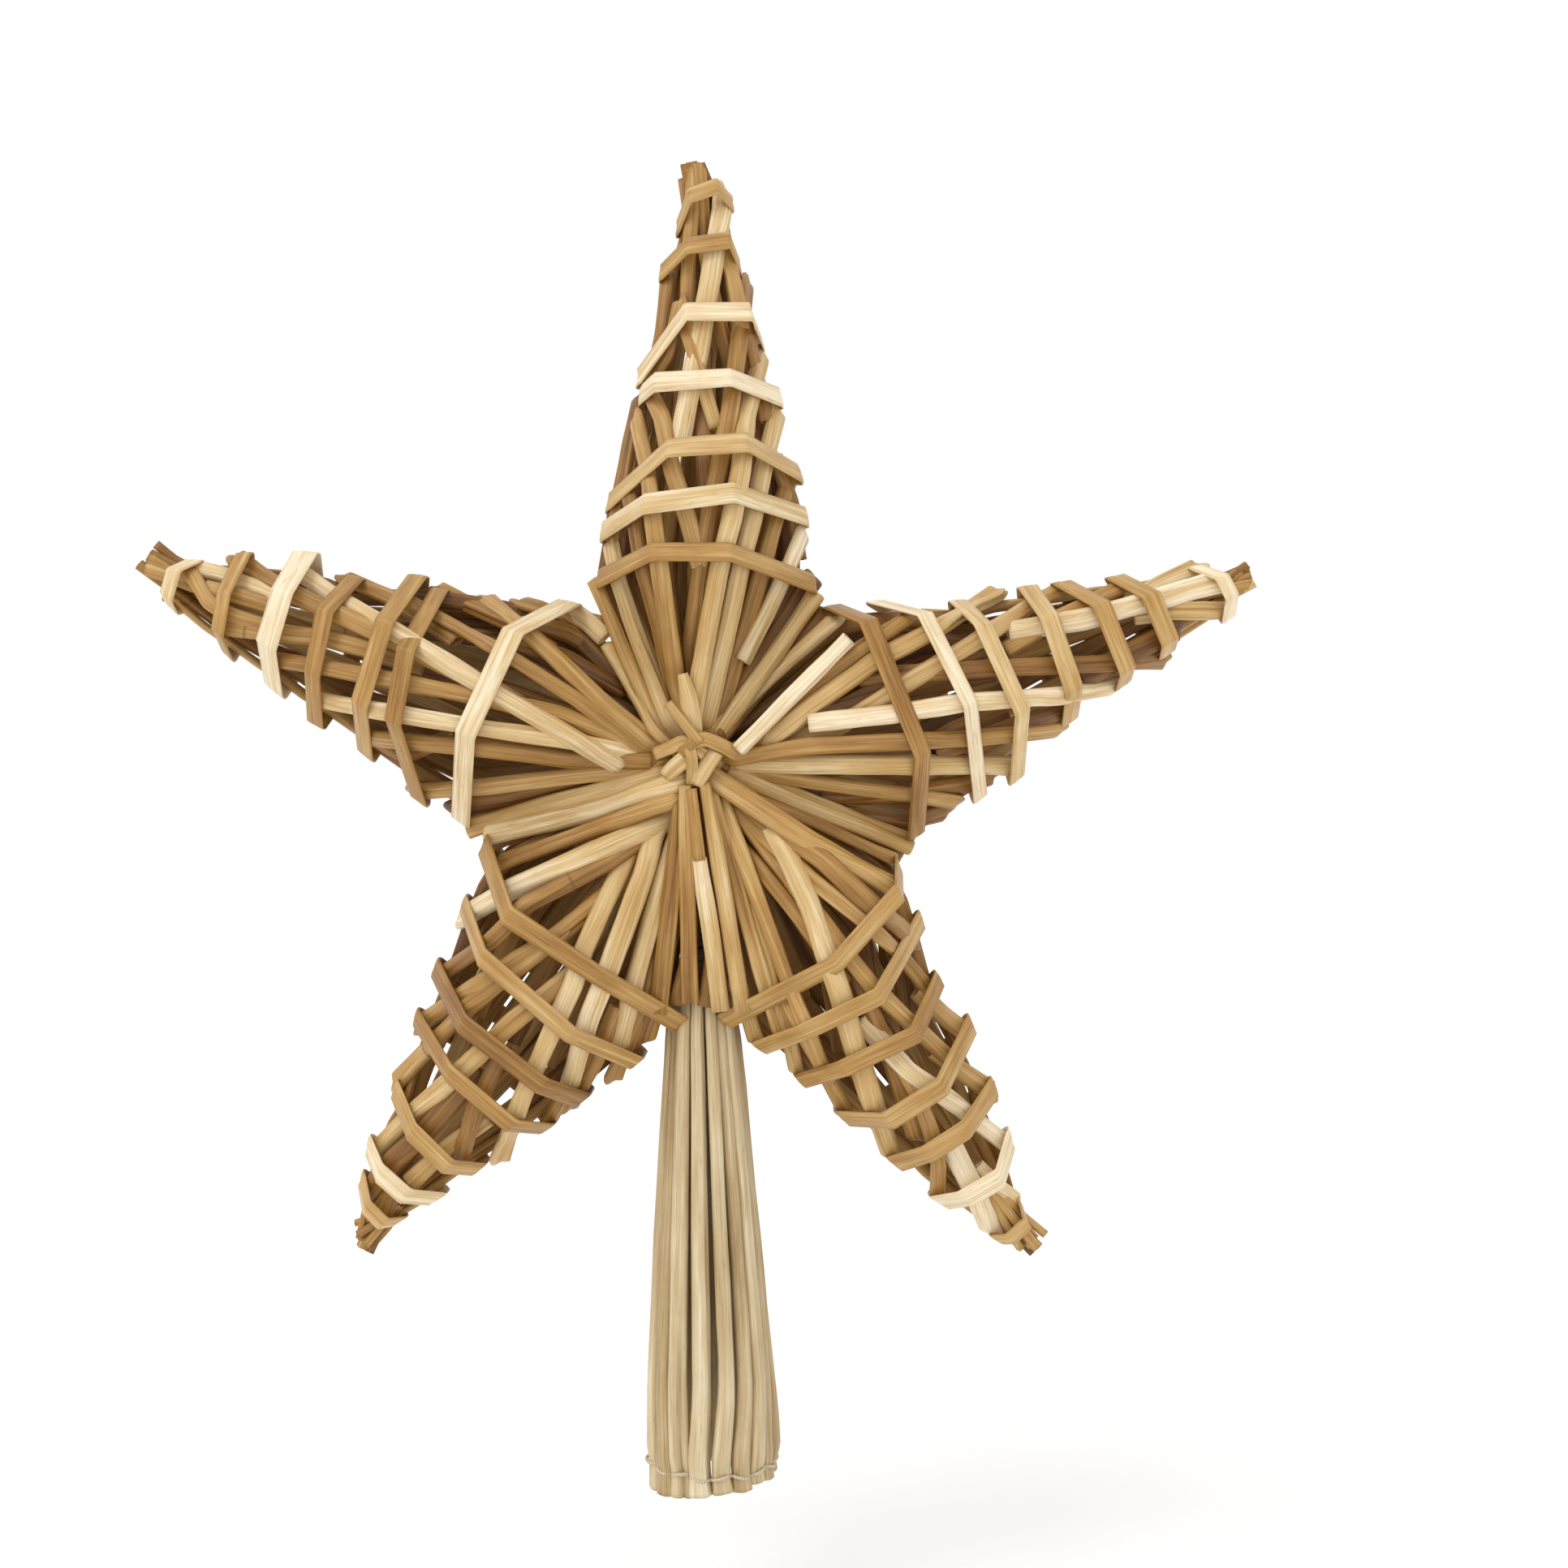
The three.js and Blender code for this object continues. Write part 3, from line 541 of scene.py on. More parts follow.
# Arms. The stalks in front are read from the picture: the pixels that each runs through, its width
# there, its tone, how many stalks deep it lies, whether it starts loose, and whether its end folds
# round the edge. Each band is read at its outer corners, going clockwise round the star: first
# edge, two corners in front, last edge. Then come its width and tone. Edge depths are in mm.
centrePixel = (857, 932)
arms = {
    "top": {
        "tip": (853, 205), "edgeDepths": (2.2, 2.2),
        "stalks": [
            ([(814, 908), (770, 806), (733, 716)], 18, 0.58, 0),
            ([(823, 890), (790, 800), (761, 712), (752, 668)], 24, 0.8, 0),
            ([(830, 900), (784, 806), (745, 716)], 20, 0.36, 1.3),
            ([(756, 668), (762, 620), (775, 550), (788, 490)], 20, 0.44, 0.7, True),
            ([(744, 708), (750, 670), (757, 625)], 18, 0.4, 0.6, True),
            ([(802, 470), (815, 410), (822, 345)], 18, 0.46, 0.5, True),
            ([(872, 640), (868, 540), (866, 430)], 22, 0.34, 2.2, True),
            ([(985, 690), (975, 620), (955, 560)], 20, 0.4, 1.0, True),
            ([(945, 520), (930, 450), (915, 380)], 20, 0.44, 0.8, True),
            ([(830, 858), (812, 770), (792, 698), (782, 640), (772, 598)], 22, 0.42, 0),
            ([(834, 846), (823, 770), (812, 694), (805, 642), (798, 580), (784, 515)], 23, 0.6, 0),
            ([(880, 760), (861, 690), (848, 642), (829, 580), (815, 513), (799, 482)], 22, 0.6, 1),
            ([(853, 886), (868, 800), (885, 705), (901, 642), (913, 580), (920, 513), (938, 437)],
             24, 0.72, 0),
            ([(850, 800), (862, 710), (872, 642), (885, 580), (898, 513), (911, 417), (920, 348)],
             22, 0.48, 1),
            ([(870, 890), (891, 800), (912, 703), (927, 642), (940, 580), (958, 508)], 24, 0.75, 0),
            ([(888, 890), (914, 790), (939, 703), (955, 642), (976, 582)], 21, 0.5, 1),
            ([(915, 815), (945, 755), (973, 697), (989, 658)], 22, 0.88, -0.4, True),
            ([(884, 906), (944, 822), (1004, 734)], 22, 0.66, 0),
            ([(885, 890), (946, 800), (1000, 714)], 26, 0.36, 1.4),
            ([(835, 550), (859, 439), (878, 328), (889, 262), (891, 236)], 26, 0.82, 0),
            ([(882, 525), (862, 460), (843, 394)], 18, 0.62, -0.2),
            ([(800, 470), (822, 436), (838, 372)], 18, 0.6, 0),
            ([(905, 470), (892, 420), (876, 350), (868, 300)], 18, 0.5, 1.5),
            ([(930, 470), (915, 400), (902, 340), (890, 300)], 20, 0.55, 1),
            ([(846, 380), (848, 330), (852, 262), (856, 208)], 19, 0.5, 1, True, False),
            ([(868, 300), (866, 260), (861, 203)], 17, 0.55, 0.6, True, False),
            ([(852, 290), (846, 255), (841, 220)], 13, 0.5, 0.8, True, False),
        ],
        "bands": [
            ((738, 715), (803, 680), (900, 680), (1004, 721), 23, 0.55),
            ((742, 657), (794, 621), (904, 607), (994, 638), 25, 0.82),
            ((750, 621), (823, 552), (920, 545), (986, 585), 25, 0.7),
            ((789, 489), (807, 471), (900, 465), (962, 491), 24, 0.88),
            ((787, 467), (845, 384), (925, 384), (938, 421), 24, 0.84),
            ((814, 338), (847, 303), (899, 296), (912, 331), 22, 0.58),
            ((835, 283), (850, 241), (884, 229), (902, 252), 20, 0.6),
        ],
    },
    "right": {
        "tip": (1541, 708), "edgeDepths": (2.2, 2.2),
        "stalks": [
            ([(874, 906), (944, 838), (1028, 764)], 23, 0.78, -0.2),
            ([(890, 905), (950, 832), (1014, 754)], 22, 0.4, 1.2),
            ([(910, 924), (978, 855), (1046, 787)], 20, 0.93, -0.9, True, False),
            ([(912, 934), (1000, 846), (1061, 799), (1093, 778), (1124, 758)], 20, 0.6, 1),
            ([(925, 932), (1000, 871), (1079, 814), (1139, 783), (1182, 758), (1228, 730)], 24, 0.72, 0),
            ([(1025, 899), (1054, 881), (1125, 837), (1200, 792), (1271, 745), (1314, 722)], 22, 0.68, 0.6),
            ([(997, 891), (1100, 880), (1186, 866), (1310, 857), (1374, 846)], 23, 0.86, (-0.5, 0), True),
            ([(1060, 835), (1096, 831), (1250, 822), (1332, 819), (1434, 814)], 22, 0.42, 0.7),
            ([(905, 934), (1000, 919), (1195, 910), (1306, 899)], 21, 0.5, 0),
            ([(905, 940), (1000, 942), (1214, 942), (1246, 944)], 25, 0.78, 0),
            ([(890, 945), (1000, 964), (1125, 980), (1178, 989)], 20, 0.6, 0),
            ([(872, 938), (1000, 992), (1121, 1040)], 26, 0.68, 0),
            ([(880, 952), (1000, 1002), (1108, 1052)], 22, 0.4, 1.3),
            ([(1010, 985), (1100, 978), (1190, 966), (1222, 955)], 24, 0.36, 1.4, True),
            ([(1040, 1005), (1120, 1012), (1165, 1000)], 24, 0.42, 1.0, True),
            ([(1150, 930), (1240, 898), (1312, 876)], 24, 0.38, 1.2, True),
            ([(872, 962), (1000, 1012), (1100, 1058)], 15, 0.5, 0),
            ([(1243, 778), (1336, 763), (1436, 735), (1503, 716)], 27, 0.88, 0),
            ([(1240, 800), (1307, 760), (1388, 720)], 22, 0.52, 0.4),
            ([(1395, 738), (1440, 716), (1476, 699)], 25, 0.78, 0),
            ([(1400, 758), (1446, 753), (1510, 752)], 22, 0.75, 0),
            ([(1330, 838), (1390, 805), (1450, 776)], 26, 0.35, 1.2),
            ([(1490, 722), (1514, 714), (1537, 696)], 12, 0.5, 0.4, True, False),
            ([(1490, 730), (1518, 724), (1542, 719)], 13, 0.55, 0.4, True, False),
            ([(1490, 726), (1516, 719), (1541, 707)], 11, 0.5, 0.8, True, False),
            ([(1470, 740), (1500, 730), (1532, 727)], 10, 0.5, 1, True, False),
        ],
        "bands": [
            ((1024, 748), (1070, 765), (1137, 930), (1128, 1030), 22, 0.44),
            ((1077, 742), (1140, 757), (1196, 868), (1207, 984), 20, 0.9),
            ((1180, 741), (1211, 769), (1260, 876), (1252, 961), 23, 0.78),
            ((1265, 723), (1293, 760), (1324, 851), (1317, 890), 24, 0.7),
            ((1307, 718), (1357, 744), (1390, 826), (1383, 845), 24, 0.6),
            ((1373, 711), (1418, 733), (1442, 791), (1437, 807), 24, 0.62),
            ((1472, 699), (1506, 711), (1518, 735), (1513, 763), 18, 0.9),
        ],
    },
    "lower_right": {
        "tip": (1273, 1538), "edgeDepths": (2.2, 7.0),
        "stalks": [
            ([(888, 985), (912, 1048), (967, 1199), (1005, 1295), (1018, 1328)], 20, 0.64, 0),
            ([(876, 980), (898, 1054), (943, 1213), (965, 1280)], 21, 0.66, 0),
            ([(945, 1010), (970, 1054), (998, 1116), (1015, 1165), (1036, 1227), (1053, 1289), (1073, 1351),
              (1099, 1424)], 27, 0.72, 0),
            ([(872, 985), (898, 1171), (932, 1284)], 20, 0.66, 0.2),
            ([(905, 1030), (955, 1199), (982, 1322)], 20, 0.58, 0.9),
            ([(940, 1180), (1000, 1290), (1040, 1366)], 22, 0.6, 0.8),
            ([(900, 1030), (929, 1061), (987, 1134), (1040, 1210)], 18, 0.5, 1),
            ([(965, 1075), (1000, 1118), (1032, 1161), (1073, 1213), (1115, 1254), (1174, 1308)],
             22, 0.64, 0.5),
            ([(930, 1020), (998, 1082), (1067, 1137), (1108, 1175), (1146, 1222)], 20, 0.6, 0.5),
            ([(935, 1005), (1012, 1058), (1080, 1120), (1126, 1157)], 26, 0.42, 0),
            ([(866, 950), (998, 1037), (1102, 1094)], 27, 0.62, 0),
            ([(1130, 1222), (1163, 1252), (1190, 1272)], 24, 0.66, 0),
            ([(1150, 1295), (1187, 1322), (1222, 1345)], 26, 0.6, 0),
            ([(1085, 1268), (1101, 1295), (1129, 1347), (1146, 1392), (1156, 1433), (1155, 1476)],
             20, 0.56, 0.3),
            ([(1060, 1258), (1120, 1320), (1180, 1362), (1242, 1410)], 24, 0.86, 0),
            ([(1172, 1412), (1197, 1461), (1222, 1516)], 27, 0.98, 0),
            ([(1040, 1180), (1075, 1250), (1100, 1310), (1130, 1400)], 24, 0.45, 1.5),
            ([(1205, 1440), (1232, 1466), (1254, 1482)], 22, 0.85, 0.3),
            ([(1190, 1440), (1228, 1490), (1257, 1538)], 11, 0.6, 0.6, True, False),
            ([(1200, 1440), (1240, 1490), (1278, 1538)], 12, 0.64, 0.4, True, False),
            ([(1210, 1440), (1245, 1484), (1288, 1521)], 10, 0.58, 0.6, True, False),
        ],
        "bands": [
            ((1107, 1065), (1108, 1100), (1030, 1188), (893, 1255), 24, 0.6),
            ((1135, 1132), (1083, 1228), (990, 1272), (935, 1288), 23, 0.62),
            ((1157, 1205), (1128, 1275), (1040, 1316), (985, 1329), 22, 0.5),
            ((1197, 1261), (1160, 1340), (1095, 1381), (1037, 1374), 26, 0.6),
            ((1225, 1338), (1190, 1392), (1145, 1421), (1101, 1431), 26, 0.6),
            ((1245, 1402), (1232, 1452), (1190, 1477), (1156, 1479), 28, 0.9),
            ((1256, 1479), (1265, 1508), (1245, 1527), (1227, 1526), 20, 0.62),
        ],
    },
    "lower_left": {
        "tip": (448, 1536), "edgeDepths": (7.0, 2.2),
        "stalks": [
            ([(843, 960), (740, 998), (600, 1028)], 27, 0.78, -0.2),
            ([(830, 985), (730, 1023), (616, 1063)], 22, 0.52, 0),
            ([(822, 1010), (730, 1051), (630, 1096), (570, 1130)], 27, 0.82, 0),
            ([(800, 1028), (751, 1061), (647, 1116), (606, 1158), (543, 1202)], 22, 0.45, 0.2),
            ([(782, 1075), (689, 1151), (613, 1199), (516, 1263)], 24, 0.58, 0.8),
            ([(740, 1110), (661, 1175), (578, 1240), (488, 1333)], 22, 0.6, 0.8),
            ([(775, 1048), (720, 1168), (706, 1213), (675, 1282), (644, 1351), (616, 1428)], 24, 0.75, 0.3),
            ([(805, 1030), (792, 1079), (751, 1192), (726, 1254), (700, 1342)], 26, 0.78, 0),
            ([(838, 1010), (819, 1072), (782, 1209), (762, 1290)], 24, 0.76, 0),
            ([(845, 1000), (833, 1106), (809, 1227), (793, 1280)], 27, 0.5, 0),
            ([(820, 1120), (800, 1220), (756, 1328)], 22, 0.48, 0.8),
            ([(762, 1240), (732, 1310), (700, 1364)], 24, 0.5, 0.8, True),
            ([(712, 1300), (695, 1345), (675, 1384)], 22, 0.46, 0.8, True),
            ([(705, 1200), (633, 1258), (575, 1313), (506, 1375), (460, 1420)], 24, 0.68, 0.2),
            ([(620, 1290), (609, 1313), (585, 1368), (566, 1432)], 22, 0.42, 0.4),
            ([(590, 1320), (565, 1347), (523, 1395), (482, 1433), (455, 1468)], 26, 0.38, 0.5),
            ([(600, 1380), (551, 1413), (506, 1456)], 22, 0.74, 0.8),
            ([(486, 1455), (468, 1502)], 26, 0.38, 0),
            ([(480, 1480), (462, 1500), (437, 1508)], 9, 0.52, 0.3, True, False),
            ([(482, 1484), (462, 1508), (440, 1522)], 10, 0.5, 0.1, True, False),
            ([(486, 1486), (468, 1512), (450, 1535)], 10, 0.56, 0.3, True, False),
            ([(490, 1488), (478, 1512), (463, 1530)], 9, 0.52, 0.5, True, False),
        ],
        "bands": [
            ((840, 1258), (738, 1203), (625, 1128), (597, 1040), 26, 0.5),
            ((787, 1306), (703, 1275), (594, 1180), (572, 1112), 23, 0.6),
            ((721, 1352), (668, 1338), (570, 1262), (537, 1191), 25, 0.38),
            ((677, 1387), (630, 1387), (554, 1323), (513, 1252), 23, 0.5),
            ((593, 1438), (552, 1438), (508, 1395), (487, 1341), 24, 0.6),
            ((541, 1475), (500, 1474), (468, 1446), (454, 1410), 27, 0.86),
            ((494, 1503), (472, 1508), (452, 1488), (446, 1451), 21, 0.66),
        ],
    },
    "left": {
        "tip": (181, 690), "edgeDepths": (2.2, 2.2),
        "stalks": [
            ([(800, 912), (740, 862), (654, 783), (600, 738)], 22, 0.6, 0),
            ([(792, 926), (711, 862), (627, 808), (536, 758), (500, 738)], 18, 0.5, 0.2),
            ([(763, 944), (607, 852), (584, 838), (480, 775), (420, 740), (366, 703)],
             24, 0.82, (-0.6, 0.1), True),
            ([(790, 920), (690, 880), (575, 856), (469, 836), (396, 822), (332, 812)], 21, 0.52, 0.3),
            ([(790, 930), (700, 912), (600, 898), (497, 881), (455, 874), (392, 862)], 22, 0.8, 0),
            ([(800, 938), (700, 936), (600, 923), (450, 909)], 22, 0.46, 0),
            ([(812, 945), (700, 957), (600, 969), (510, 976)], 21, 0.6, 0),
            ([(814, 955), (700, 985), (578, 1020)], 24, 0.68, 0),
            ([(812, 962), (700, 1003), (602, 1040)], 20, 0.5, 1.3),
            ([(800, 955), (700, 974), (560, 998)], 26, 0.36, 1.8),
            ([(744, 770), (690, 757), (640, 742)], 22, 0.54, 1.6, True),
            ([(778, 818), (700, 781), (650, 764)], 24, 0.44, 1.9, True),
            ([(770, 852), (700, 812), (640, 790)], 22, 0.38, 2.2, True),
            ([(703, 752), (724, 766), (745, 786)], 24, 0.78, 0.1, True, False),
            ([(838, 930), (806, 900), (776, 846), (748, 796)], 15, 0.7, 0.2),
            ([(640, 868), (540, 815), (457, 775), (393, 747), (330, 715), (292, 688)], 24, 0.56, 0.5),
            ([(680, 800), (640, 775), (539, 726)], 22, 0.46, 0.6),
            ([(560, 790), (491, 741), (425, 712)], 22, 0.5, 0.6),
            ([(520, 822), (452, 800), (398, 786), (330, 778)], 22, 0.62, 1),
            ([(350, 782), (314, 777), (272, 771)], 22, 0.5, 0.4),
            ([(335, 748), (286, 735), (255, 730)], 27, 0.56, 0.4),
            ([(340, 775), (283, 757), (258, 742), (232, 702)], 19, 0.6, 0),
            ([(340, 733), (323, 727), (272, 707), (238, 699)], 20, 0.85, 0),
            ([(245, 722), (215, 712), (180, 699)], 20, 0.62, 0.3, True, False),
            ([(245, 716), (215, 706), (184, 686)], 14, 0.5, 0.5, True, False),
            ([(235, 700), (212, 688), (191, 670)], 12, 0.46, 0.5, True, False),
            ([(560, 905), (500, 930), (440, 900)], 20, 0.34, 1.5),
        ],
        "bands": [
            ((569, 1013), (573, 905), (632, 778), (703, 743), 27, 0.86),
            ((518, 987), (484, 890), (500, 800), (543, 727), 23, 0.5),
            ((452, 931), (443, 868), (474, 765), (516, 710), 25, 0.55),
            ((390, 893), (385, 830), (400, 752), (440, 712), 22, 0.5),
            ((339, 851), (328, 795), (348, 728), (378, 681), 31, 0.92),
            ((282, 808), (268, 780), (276, 730), (302, 682), 20, 0.58),
            ((212, 749), (205, 735), (214, 702), (240, 691), 22, 0.85),
        ],
    },
}

armBuild = {
    "deepest": 20.6 * mm,           # how far the front corners may stand from the mid-plane
    "depthShare": 0.9,              # depth as a share of half the width
    "behindShift": 1.0 * mm,        # how far towards the centre the corners behind lie
    "behindVaries": 1.2 * mm,
    "facetShare": 0.42,             # half of the flat front, as a share of half the width
    "strawWidth": 4.8 * mm,
    "backWider": 1.06,
    "widthVaries": 0.12,
    "backTone": (0.56, 0.2),        # and how much it varies
    "toneVaries": 0.06,
    "tipWidth": 0.5,                # share of the width left at the tip
    "endWider": 1.05,               # the cut end there, as a share of that
    "startWidths": (0.72, 0.96, 1.04, 1.0),    # shares of the width from the centre to the first band
    "betweenWider": 1.04,           # how much wider a stalk is between two bands
    "frontVaries": 0.04,            # how much the width of a stalk in front changes
    "backWays": (0.07, 0.14, 0.21, 0.29, 0.37, 0.45, 0.55, 0.63, 0.71, 0.79, 0.86, 0.93),
    "innerWays": (0.04, 0.3, 0.5, 0.72, 0.96),
    "slack": 1.3 * mm,              # how far inside a band a stalk may lie
    "underShare": 0.8,              # how much deeper the lower layer lies at the tip, in stalks
    "bandGap": 0.7,                 # from a band's line to the stalks, as a share of its thickness
    "sag": 0.4 * mm,                # how far a stalk sags or bows between its ties
    "bow": 0.35 * mm,
    "kneeReach": 3.6 * mm,
    "kneeBulge": 0.5 * mm,
    "kneeLean": 0.3,                # how far a stalk's face has turned outwards halfway to the knee
    "startReach": 3.4 * mm,         # from the star's centre to where the stalks start
    "lowerStart": 6.0 * mm,         # how much further out the stalks underneath start
    "lowerShare": (0.8, 0.3),       # the share of that which each takes, and how much it varies
    "startDepth": 7.4 * mm,
    "layerDepth": 1.5 * mm,         # between the layers of stalks that cross at the centre
    "lowerLevel": 1.2,              # how many layers deeper the stalks underneath start
    "levelStep": 0.8,               # layers between neighbours, which start at three levels
    "levelVaries": 0.2,
    "reachTip": (1, 3, 5, 6, 8),    # which of each ten stalks behind reach the tip
    # the tip's half width, depth, shift aside, front corners as shares of the half width, edge depths
    "tipForm": (3.6 * mm, 3.4 * mm, 0, -0.4, 0.4, 1.5 * mm, 1.5 * mm),
    "tipSpread": 2.2 * mm,
    "tipDepth": 1.1,                # how far the ends stand out at most, as a share of the spread
    "tipLower": 0.5,                # share of that for the stalks underneath
    "tipVariation": 1.5 * mm,
    "pastLastBand": 2.6 * mm,       # how far the shorter stalks run on
    "pastVaries": 0.5,
    "crossing": 0.13,               # how far some stalks wander round the arm, as a share of the way
    "upperCrossing": 0.3,           # share of that for the stalks on top
    "frontStep": 30,                # pixels from point to point of a stalk in front
    "frontStart": 10.5 * mm,        # how far the stalks in front stand out at the centre
    "frontGuess": 12 * mm,          # a first guess of their depth, and its limits
    "frontLeast": 0.5 * mm,
    "frontLowest": -2 * mm,
    "depthTries": 3,                # how often the guess is made better
    "nearKnot": 0.02,               # the least share of the way from the knot that the fan's form uses
    "frontInset": 1.1 * mm,         # from the outside of the bands to the stalks' faces
    "slopeReach": 1.5 * mm,         # how far to either side the slope under a stalk is taken
    "steepest": 1.6,                # the slope that is still followed, as rise over run
    "lean": 0.5,                    # how much of that slope a stalk's face takes on
    "layer": 1.9 * mm,              # from one layer of stalks to the next
    "foldReach": 0.7 * mm,          # how far a stalk's end runs on as it folds round the edge
    "foldDepth": 3.4 * mm,
    "foldWidths": (1.12, 1.1),      # at the edge and past it, as shares of the stalk's width
    "foldPresses": (0.5, 0.4),      # and of its depth
    "knotReach": 26,                # pixels from the knot to where stalks that start near it are tucked in
    "knotLimit": 200,               # the furthest start that still is
    "tucked": 1.6,                  # how many layers deeper they lie there
    "tuckedWidth": 0.8,
    "sinksUnder": 60,               # stalks that start more pixels than this from the knot sink in
    "sinkReach": 75,                # pixels over which they do
}

centre = fromPicture(centrePixel)


def ringOf(arm, band, facing, key):
    # the outer corners of a band on one side of the mid-plane, edge to edge
    first, last = fromPicture(band[0]), fromPicture(band[3])
    half = (last - first).length / 2
    depth = min(half * armBuild["depthShare"], armBuild["deepest"])
    edges = [edge * mm * half / arm["widest"] for edge in arm["edgeDepths"]]
    corners = [first, fromPicture(band[1], depth), fromPicture(band[2], depth), last]
    if facing < 0:
        # behind, the corners lie much as in front, a little differently tied
        for i in (1, 2):
            varied = armBuild["behindVaries"] * swing(key, "behind", i)
            corners[i] = corners[i] + arm["axis"] * (varied - armBuild["behindShift"])
    for i, y in enumerate((edges[0], depth, depth, edges[1])):
        corners[i] = Vector((corners[i].x, -facing * y, corners[i].z))
    return corners


def prepareArm(name, arm):
    first, last = fromPicture(arm["bands"][0][0]), fromPicture(arm["bands"][0][3])
    arm["widest"] = (last - first).length / 2
    arm["base"] = (first + last) / 2
    arm["tipPoint"] = fromPicture(arm["tip"])
    arm["axis"] = (arm["tipPoint"] - arm["base"]).normalized()
    arm["side"] = (last - first)
    arm["side"] = (arm["side"] - arm["axis"] * arm["side"].dot(arm["axis"])).normalized()
    arm["rings"] = {
        facing: [ringOf(arm, band, facing, f"{name}{i}") for i, band in enumerate(arm["bands"])]
        for facing in (1, -1)
    }
    arm["middles"] = [(ring[0] + ring[3]) / 2 for ring in arm["rings"][1]]
    for middle in arm["middles"]:
        middle.y = 0
    # the front's form from band to band, and at the tip
    arm["stations"] = []
    for ring, middle in zip(arm["rings"][1], arm["middles"]):
        across = [(corner - middle).dot(arm["side"]) for corner in ring]
        half = across[3]
        shift = (middle - arm["base"]).dot(arm["side"])
        arm["stations"].append((
            sum((corner - arm["base"]).dot(arm["axis"]) for corner in ring) / 4,
            (half, abs(ring[1].y), shift, across[1] / half, across[2] / half, abs(ring[0].y), abs(ring[3].y)),
        ))
    tipReach = (arm["tipPoint"] - arm["base"]).dot(arm["axis"])
    arm["stations"].append((tipReach, armBuild["tipForm"]))
    # behind, the cage tapers evenly from its first band to its last
    arm["ends"] = []
    for i in (0, -1):
        ring = arm["rings"][1][i]
        arm["ends"].append({
            "station": (arm["middles"][i] - arm["base"]).dot(arm["axis"]),
            "middle": (arm["middles"][i] - arm["base"]).dot(arm["side"]),
            "half": (ring[3] - ring[0]).dot(arm["side"]) / 2,
            "depth": abs(ring[1].y),
            "edges": (abs(ring[0].y), abs(ring[3].y)),
        })


wayStops = (0.0, 0.3, 0.7, 1.0)     # where a band's four corners lie on the way over the arm


def between(corners, way):
    way = min(max(way, 0), 1)
    i = 0
    while i < 2 and way > wayStops[i + 1]:
        i += 1
    return corners[i].lerp(corners[i + 1], (way - wayStops[i]) / (wayStops[i + 1] - wayStops[i]))


def roomIn(ring, middle, side, aim):
    # how far the ring lies from the arm's middle in a direction: across and in depth
    flat = [((corner - middle).dot(side), abs(corner.y)) for corner in ring]
    for (ax, ay), (bx, by) in zip(flat, flat[1:]):
        turn = aim[0] * (by - ay) - aim[1] * (bx - ax)
        if abs(turn) < 1e-12:
            continue
        reach = (ax * (by - ay) - ay * (bx - ax)) / turn
        share = (ax * aim[1] - ay * aim[0]) / turn
        if reach > 0 and -1e-6 <= share <= 1 + 1e-6:
            return reach
    return math.hypot(*(flat[0] if aim[0] < 0 else flat[-1]))


def cageSpot(arm, facing, number, way, inset):
    # where a stalk passes under a band: on the even cage, but inside the band
    ring, middle = arm["rings"][facing][number], arm["middles"][number]
    station = (between(ring, way) - arm["base"]).dot(arm["axis"])
    first, last = arm["ends"]
    share = (station - first["station"]) / (last["station"] - first["station"])
    half, depth, shift = (mix(first[key], last[key], share) for key in ("half", "depth", "middle"))
    edges = [mix(first["edges"][i], last["edges"][i], share) for i in (0, 1)]
    facet = armBuild["facetShare"] * half
    corners = [Vector((-half, edges[0])), Vector((-facet, depth)),
               Vector((facet, depth)), Vector((half, edges[1]))]
    spot = between(corners, way)
    across = (middle - arm["base"]).dot(arm["side"])
    aim = Vector((spot.x + shift - across, spot.y))
    room = roomIn(ring, middle, arm["side"], aim.normalized()) - inset
    reach = min(max(aim.length, room - armBuild["slack"]), room)
    aim = aim.normalized()
    place = arm["base"] + arm["axis"] * station + arm["side"] * (across + aim.x * reach)
    place.y = -facing * aim.y * reach
    return place, (arm["side"] * aim.x + Vector((0, -facing * aim.y, 0))).normalized()


